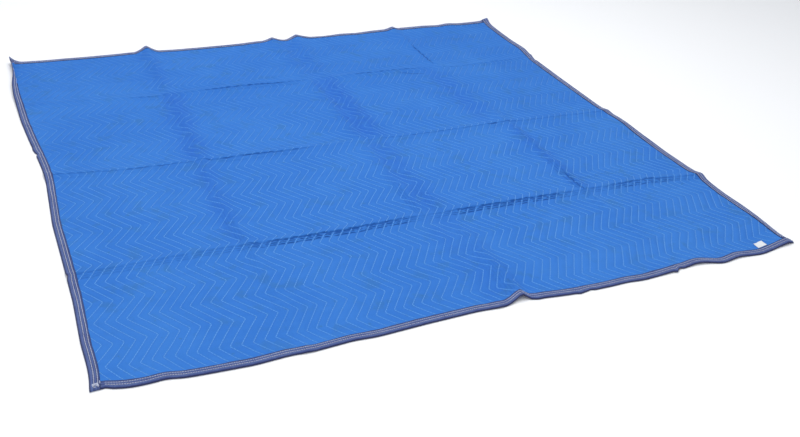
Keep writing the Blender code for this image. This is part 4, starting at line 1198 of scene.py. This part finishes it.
def clothMaterial(values):
    made, tree, shader = newMaterial("quiltedCloth", values["roughness"], values["sheen"])
    plan = put(tree, "ShaderNodeUVMap", uv_map="plan").outputs[0]
    quilt = put(tree, "ShaderNodeAttribute", attribute_name="quilting").outputs["Vector"]
    quilt = put(tree, "ShaderNodeSeparateXYZ", {0: quilt}).outputs
    weave = useGroup(tree, weaveGroup, Vector=plan, Threads=values["threads"], Unevenness=0.7)
    broad = useGroup(tree, mottleGroup, Vector=plan, Scale=3.2, Low=0.40, High=0.66)["Mask"]
    streaks = put(tree, "ShaderNodeMapping", {"Vector": plan, "Scale": (10.0, 42.0, 1.0),
                                              "Rotation": (0, 0, 0.15)}).outputs[0]
    streaks = ramp(tree, noise(tree, streaks, 1.0, detail=4.0), 0.42, 0.72)
    colour = blendColour(tree, calc(tree, "MULTIPLY", broad, 0.35), values["blue"], values["paleBlue"])
    colour = blendColour(tree, calc(tree, "MULTIPLY", streaks, 0.22), colour, values["paleBlue"])
    # painted shade in the bands beside the folds, where the cloth sinks in broad shallow folds
    bandShade = noise(tree, plan, 34.0, detail=3.0)
    bandShade = calc(tree, "MULTIPLY", quilt[1], ramp(tree, bandShade, 0.25, 0.60, 0.55, 1.25), True)
    colour = blendColour(tree, bandShade, colour, values["shadeBlue"])
    # greenish smudges: many faint ones, and a few small dark spots
    smudged = useGroup(tree, mottleGroup, Vector=plan, Scale=20.0, Low=0.50, High=0.66)["Mask"]
    regions = useGroup(tree, mottleGroup, Vector=plan, Scale=4.5, Low=0.36, High=0.60)["Mask"]
    smudged = calc(tree, "MULTIPLY", smudged, calc(tree, "MULTIPLY", regions, 0.36))
    spots = useGroup(tree, mottleGroup, Vector=plan, Scale=40.0, Low=0.64, High=0.73)["Mask"]
    smudged = calc(tree, "MAXIMUM", smudged, calc(tree, "MULTIPLY", spots, 0.60))
    colour = blendColour(tree, smudged, colour, values["smudge"])
    # pale haze beside each stitched row, where the threads pull the face tight
    haze = ramp(tree, quilt[0], 0.0008, 0.0034, 0.55, 0.0)
    colour = blendColour(tree, haze, colour, values["threadHaze"])
    # creases: painted shade, a thin dark line below each crest, then rows of short dark dashes in
    # the puffs, 8 mm apart down its front slope, which faces away from the light
    cells = ramp(tree, quilt[0], 0.0018, 0.0048)
    planY = put(tree, "ShaderNodeSeparateXYZ", {0: plan}).outputs[1]
    cells = calc(tree, "MULTIPLY", cells, ramp(tree, planY, -0.40, -0.20, 1.0, 0.22))
    dark = None
    for name, lineShare, dashShare in (("crossCrease", 1.0, 1.0), ("longCrease", 0.22, 0.55)):
        field = put(tree, "ShaderNodeAttribute", attribute_name=name).outputs["Vector"]
        place = put(tree, "ShaderNodeSeparateXYZ", {0: field}).outputs
        stretched = put(tree, "ShaderNodeMapping", {"Vector": field, "Scale": (50.0, 24.0, 0.0)})
        wobble = calc(tree, "SUBTRACT", noise(tree, stretched.outputs[0], 1.0, detail=3.0), 0.5)
        offset = calc(tree, "ADD", place[0], calc(tree, "MULTIPLY", wobble, 0.008))
        toLine = calc(tree, "ABSOLUTE", calc(tree, "ADD", offset, 0.0045))
        line = ramp(tree, toLine, 0.0008, 0.0034, lineShare, 0.0)
        drawn = put(tree, "ShaderNodeMapping", {"Vector": field, "Scale": (0.0, 30.0, 0.0)})
        drawn = ramp(tree, noise(tree, drawn.outputs[0], 1.0, detail=3.0), 0.40, 0.58, 0.30, 1.0)
        line = calc(tree, "MULTIPLY", line, drawn)
        dashes = ramp(tree, calc(tree, "PINGPONG", offset, 0.004), 0.0014, 0.0036, dashShare, 0.0)
        slope = ramp(tree, offset, -0.030, -0.023)
        slope = calc(tree, "MULTIPLY", slope, ramp(tree, offset, -0.0065, -0.0035, 1.0, 0.0))
        broken = put(tree, "ShaderNodeMapping", {"Vector": field, "Scale": (120.0, 40.0, 0.0)})
        broken = ramp(tree, noise(tree, broken.outputs[0], 1.0), 0.38, 0.50)
        broken = calc(tree, "MULTIPLY", calc(tree, "MULTIPLY", slope, cells), broken)
        total = calc(tree, "MAXIMUM", line, calc(tree, "MULTIPLY", dashes, broken))
        total = calc(tree, "MULTIPLY", total, place[2], True)
        dark = total if dark is None else calc(tree, "MAXIMUM", dark, total)
    # painted shade of the fine creases off the folds
    for stroke in values["strokes"]:
        dark = calc(tree, "MAXIMUM", dark, strokeMask(tree, plan, *stroke))
    colour = blendColour(tree, dark, colour, values["creaseShadeBlue"])
    # painted shade in the weave's hollows, between the threads
    colour = blendColour(tree, ramp(tree, weave["Shade"], 0.0, 0.55, 0.22, 0.0), colour,
                         values["shadeBlue"])
    tree.links.new(colour, shader.inputs["Base Color"])
    height = calc(tree, "ADD", weave["Height"], calc(tree, "MULTIPLY", noise(tree, plan, 95.0, 3.0), 2.2))
    height = calc(tree, "SUBTRACT", height, calc(tree, "MULTIPLY", dark, 4.0))
    bump = put(tree, "ShaderNodeBump", {"Height": height, "Distance": values["bump"],
                                        "Strength": 0.8})
    tree.links.new(bump.outputs[0], shader.inputs["Normal"])
    return made


tapeFinish = {
    "navy": (0.060, 0.092, 0.290, 1),
    # colour of the rubbed patches, and of the painted highlight along the crowns
    "worn": (0.145, 0.215, 0.480, 1),
    # colour of the painted shade at the fold, beside the seams and at the inner edge, and of the
    # herringbone's ribs
    "edge": (0.020, 0.026, 0.095, 1),
    # shares across the wing: middle, half width, strength; painted highlight on the crowns, painted shade
    # in the creases
    "crowns": [(0.24, 0.15, 0.60), (0.60, 0.13, 0.50)],
    "creases": [(-0.03, 0.12, 0.90), (0.36, 0.05, 0.50), (0.49, 0.04, 0.30), (0.70, 0.05, 0.50),
                (0.84, 0.05, 0.40), (0.99, 0.09, 0.92)],
    "roughness": 0.8,
    "sheen": 0.05,
    "bump": 0.0004}


def tapeMaterial(values):
    made, tree, shader = newMaterial("bindingTape", values["roughness"], values["sheen"])
    uv = put(tree, "ShaderNodeUVMap", uv_map="tape").outputs[0]
    place = put(tree, "ShaderNodeAttribute", attribute_name="tapePlace").outputs["Vector"]
    across = put(tree, "ShaderNodeSeparateXYZ", {0: place}).outputs[0]
    # herringbone: slanted ribs that change hands at every fourth of the tape's width
    split = put(tree, "ShaderNodeSeparateXYZ", {0: uv}).outputs
    chevron = calc(tree, "PINGPONG", split[1], 0.0035)
    ribs = calc(tree, "SINE", calc(tree, "MULTIPLY", calc(tree, "ADD", split[0], chevron), 4200.0))
    weave = useGroup(tree, weaveGroup, Vector=uv, Threads=3600.0, Unevenness=0.5)
    worn = useGroup(tree, mottleGroup, Vector=uv, Scale=40.0, Low=0.35, High=0.70)["Mask"]
    colour = blendColour(tree, calc(tree, "MULTIPLY", worn, 0.45), values["navy"], values["worn"])
    # painted highlight along the two crowns, painted shade in the creases beside the seams and at both
    # edges
    for middle, half, share in values["crowns"]:
        near = calc(tree, "ABSOLUTE", calc(tree, "SUBTRACT", across, middle))
        colour = blendColour(tree, ramp(tree, near, 0.2 * half, half, share, 0.0), colour, values["worn"])
    # painted shade in the creases beside the seams, at the fold's side and at the inner edge
    for middle, half, share in values["creases"]:
        near = calc(tree, "ABSOLUTE", calc(tree, "SUBTRACT", across, middle))
        colour = blendColour(tree, ramp(tree, near, 0.3 * half, half, share, 0.0), colour, values["edge"])
    colour = blendColour(tree, ramp(tree, ribs, -1.0, 0.2, 0.35, 0.0), colour, values["edge"])
    tree.links.new(colour, shader.inputs["Base Color"])
    height = calc(tree, "ADD", calc(tree, "MULTIPLY", ribs, 0.5), weave["Height"])
    bump = put(tree, "ShaderNodeBump", {"Height": height, "Distance": values["bump"]})
    tree.links.new(bump.outputs[0], shader.inputs["Normal"])
    return made


def threadMaterial(name, colour, shadow, roughness, faded=None):
    made, tree, shader = newMaterial(name, roughness, 0.2)
    uv = put(tree, "ShaderNodeUVMap", uv_map="thread").outputs[0]
    twist = useGroup(tree, twistGroup, Vector=uv)["Height"]
    place = put(tree, "ShaderNodeTexCoord").outputs["Object"]
    uneven = useGroup(tree, mottleGroup, Vector=place, Scale=22.0, Low=0.35, High=0.70)["Mask"]
    shade = calc(tree, "ADD", ramp(tree, twist, -0.5, 0.3, 0.45, 0.0),
                 calc(tree, "MULTIPLY", uneven, 0.3), True)
    colour = blendColour(tree, shade, colour, shadow)
    if faded:
        # rubbed off in patches, more of them towards the back
        patches = useGroup(tree, mottleGroup, Vector=place, Scale=7.0, Low=0.36, High=0.60)["Mask"]
        depth = put(tree, "ShaderNodeSeparateXYZ", {0: place}).outputs[1]
        patches = calc(tree, "MULTIPLY", patches, ramp(tree, depth, -0.6, 0.5, 0.25, 0.55))
        colour = blendColour(tree, calc(tree, "ADD", patches, ramp(tree, depth, -0.5, 0.8, 0.0, 0.60)),
                             colour, faded)
    tree.links.new(colour, shader.inputs["Base Color"])
    bump = put(tree, "ShaderNodeBump", {"Height": twist, "Distance": 0.0002})
    tree.links.new(bump.outputs[0], shader.inputs["Normal"])
    return made


def labelMaterial():
    made, tree, shader = newMaterial("labelCloth", 0.6, 0.1)
    plan = put(tree, "ShaderNodeUVMap", uv_map="plan").outputs[0]
    weave = useGroup(tree, weaveGroup, Vector=plan, Threads=5200.0, Unevenness=0.3)
    aged = useGroup(tree, mottleGroup, Vector=plan, Scale=60.0, Low=0.35, High=0.75)["Mask"]
    colour = blendColour(tree, calc(tree, "MULTIPLY", aged, 0.4), (0.80, 0.82, 0.85, 1),
                         (0.66, 0.69, 0.74, 1))
    colour = blendColour(tree, ramp(tree, weave["Shade"], 0.0, 0.5, 0.25, 0.0), colour,
                         (0.55, 0.58, 0.64, 1))
    tree.links.new(colour, shader.inputs["Base Color"])
    bump = put(tree, "ShaderNodeBump", {"Height": weave["Height"], "Distance": 0.0002})
    tree.links.new(bump.outputs[0], shader.inputs["Normal"])
    return made


quiltThread = threadMaterial("quiltingThread", (0.175, 0.465, 0.860, 1), (0.085, 0.315, 0.730, 1),
                             0.7, faded=(0.044, 0.215, 0.620, 1))
seamThread = threadMaterial("seamThread", (0.68, 0.72, 0.88, 1), (0.40, 0.43, 0.56, 1), 0.7)
quiltedCloth.data.materials.append(clothMaterial(clothFinish))
for piece in quiltingThreads:
    piece.data.materials.append(quiltThread)
tapeCloth = tapeMaterial(tapeFinish)
for side in sides:
    tapes[side].data.materials.append(tapeCloth)
    tapeThreads[side].data.materials.append(seamThread)
careTag.data.materials.append(labelMaterial())
print("materials made")

# what each piece rides on and stands for
for piece in (quiltedCloth, *quiltingThreads):
    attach(piece, "root")
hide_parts("quilted_panel")
for side in sides:
    for piece in (tapes[side], tapeThreads[side]):
        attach(piece, "root")
    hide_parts("binding_" + side)
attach(careTag, "root")
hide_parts("label")

# studio
studio = {
    "floorSize": 14.0,
    "floorColour": (0.94, 0.94, 0.945, 1),
    "lamps": {   # place, power in watts, size in metres
        "keyLamp": ((-0.2, 1.1, 3.7), 72.0, 2.4),
        "topLamp": ((0.4, -0.8, 3.6), 45.0, 3.2),
        "fillLamp": ((-2.2, -2.6, 2.4), 28.0, 2.6)},
    "sky": (0.90, 0.94, 1.0, 1),
    "skyStrength": 0.52}


def buildStudio(values):
    half = values["floorSize"] / 2
    corners = np.array([(-half, -half, -0.0002), (half, -half, -0.0002), (half, half, -0.0002),
                        (-half, half, -0.0002)])
    floor, _ = newMesh("floor", corners, np.array([[0, 1, 2, 3]]), smooth=False)
    made, tree, shader = newMaterial("paleFloor", 0.85)
    place = put(tree, "ShaderNodeTexCoord").outputs["Object"]
    grain = noise(tree, place, 3.0, detail=2.0)
    r, g, b, _ = values["floorColour"]
    colour = blendColour(tree, calc(tree, "MULTIPLY", grain, 0.10), values["floorColour"],
                         (r * 0.95, g * 0.95, b * 0.95, 1))
    tree.links.new(colour, shader.inputs["Base Color"])
    floor.data.materials.append(made)
    floor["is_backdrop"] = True
    for name, (place, power, size) in values["lamps"].items():
        data = bpy.data.lights.new(name, "AREA")
        data.energy = power
        data.size = size
        lamp = bpy.data.objects.new(name, data)
        back = np.array(place) / np.linalg.norm(place)
        right = np.cross((0.0, 1.0, 0.001), back)
        right /= np.linalg.norm(right)
        up = np.cross(back, right)
        turn = Matrix([[float(c[row]) for c in (right, up, back)] for row in range(3)]).to_4x4()
        lamp.matrix_world = Matrix.Translation(place) @ turn
        bpy.context.scene.collection.objects.link(lamp)
    world = bpy.data.worlds.new("studioSky")
    world.use_nodes = True
    sky = world.node_tree.nodes["Background"]
    sky.inputs["Color"].default_value = values["sky"]
    sky.inputs["Strength"].default_value = values["skyStrength"]
    bpy.context.scene.world = world
    bpy.context.scene.view_settings.view_transform = "Standard"


buildStudio(studio)

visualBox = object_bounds()
for name, box in (("CAD", cadBox), ("visual", visualBox)):
    print(name, "box:", [[round(float(v), 4) for v in corner] for corner in box])
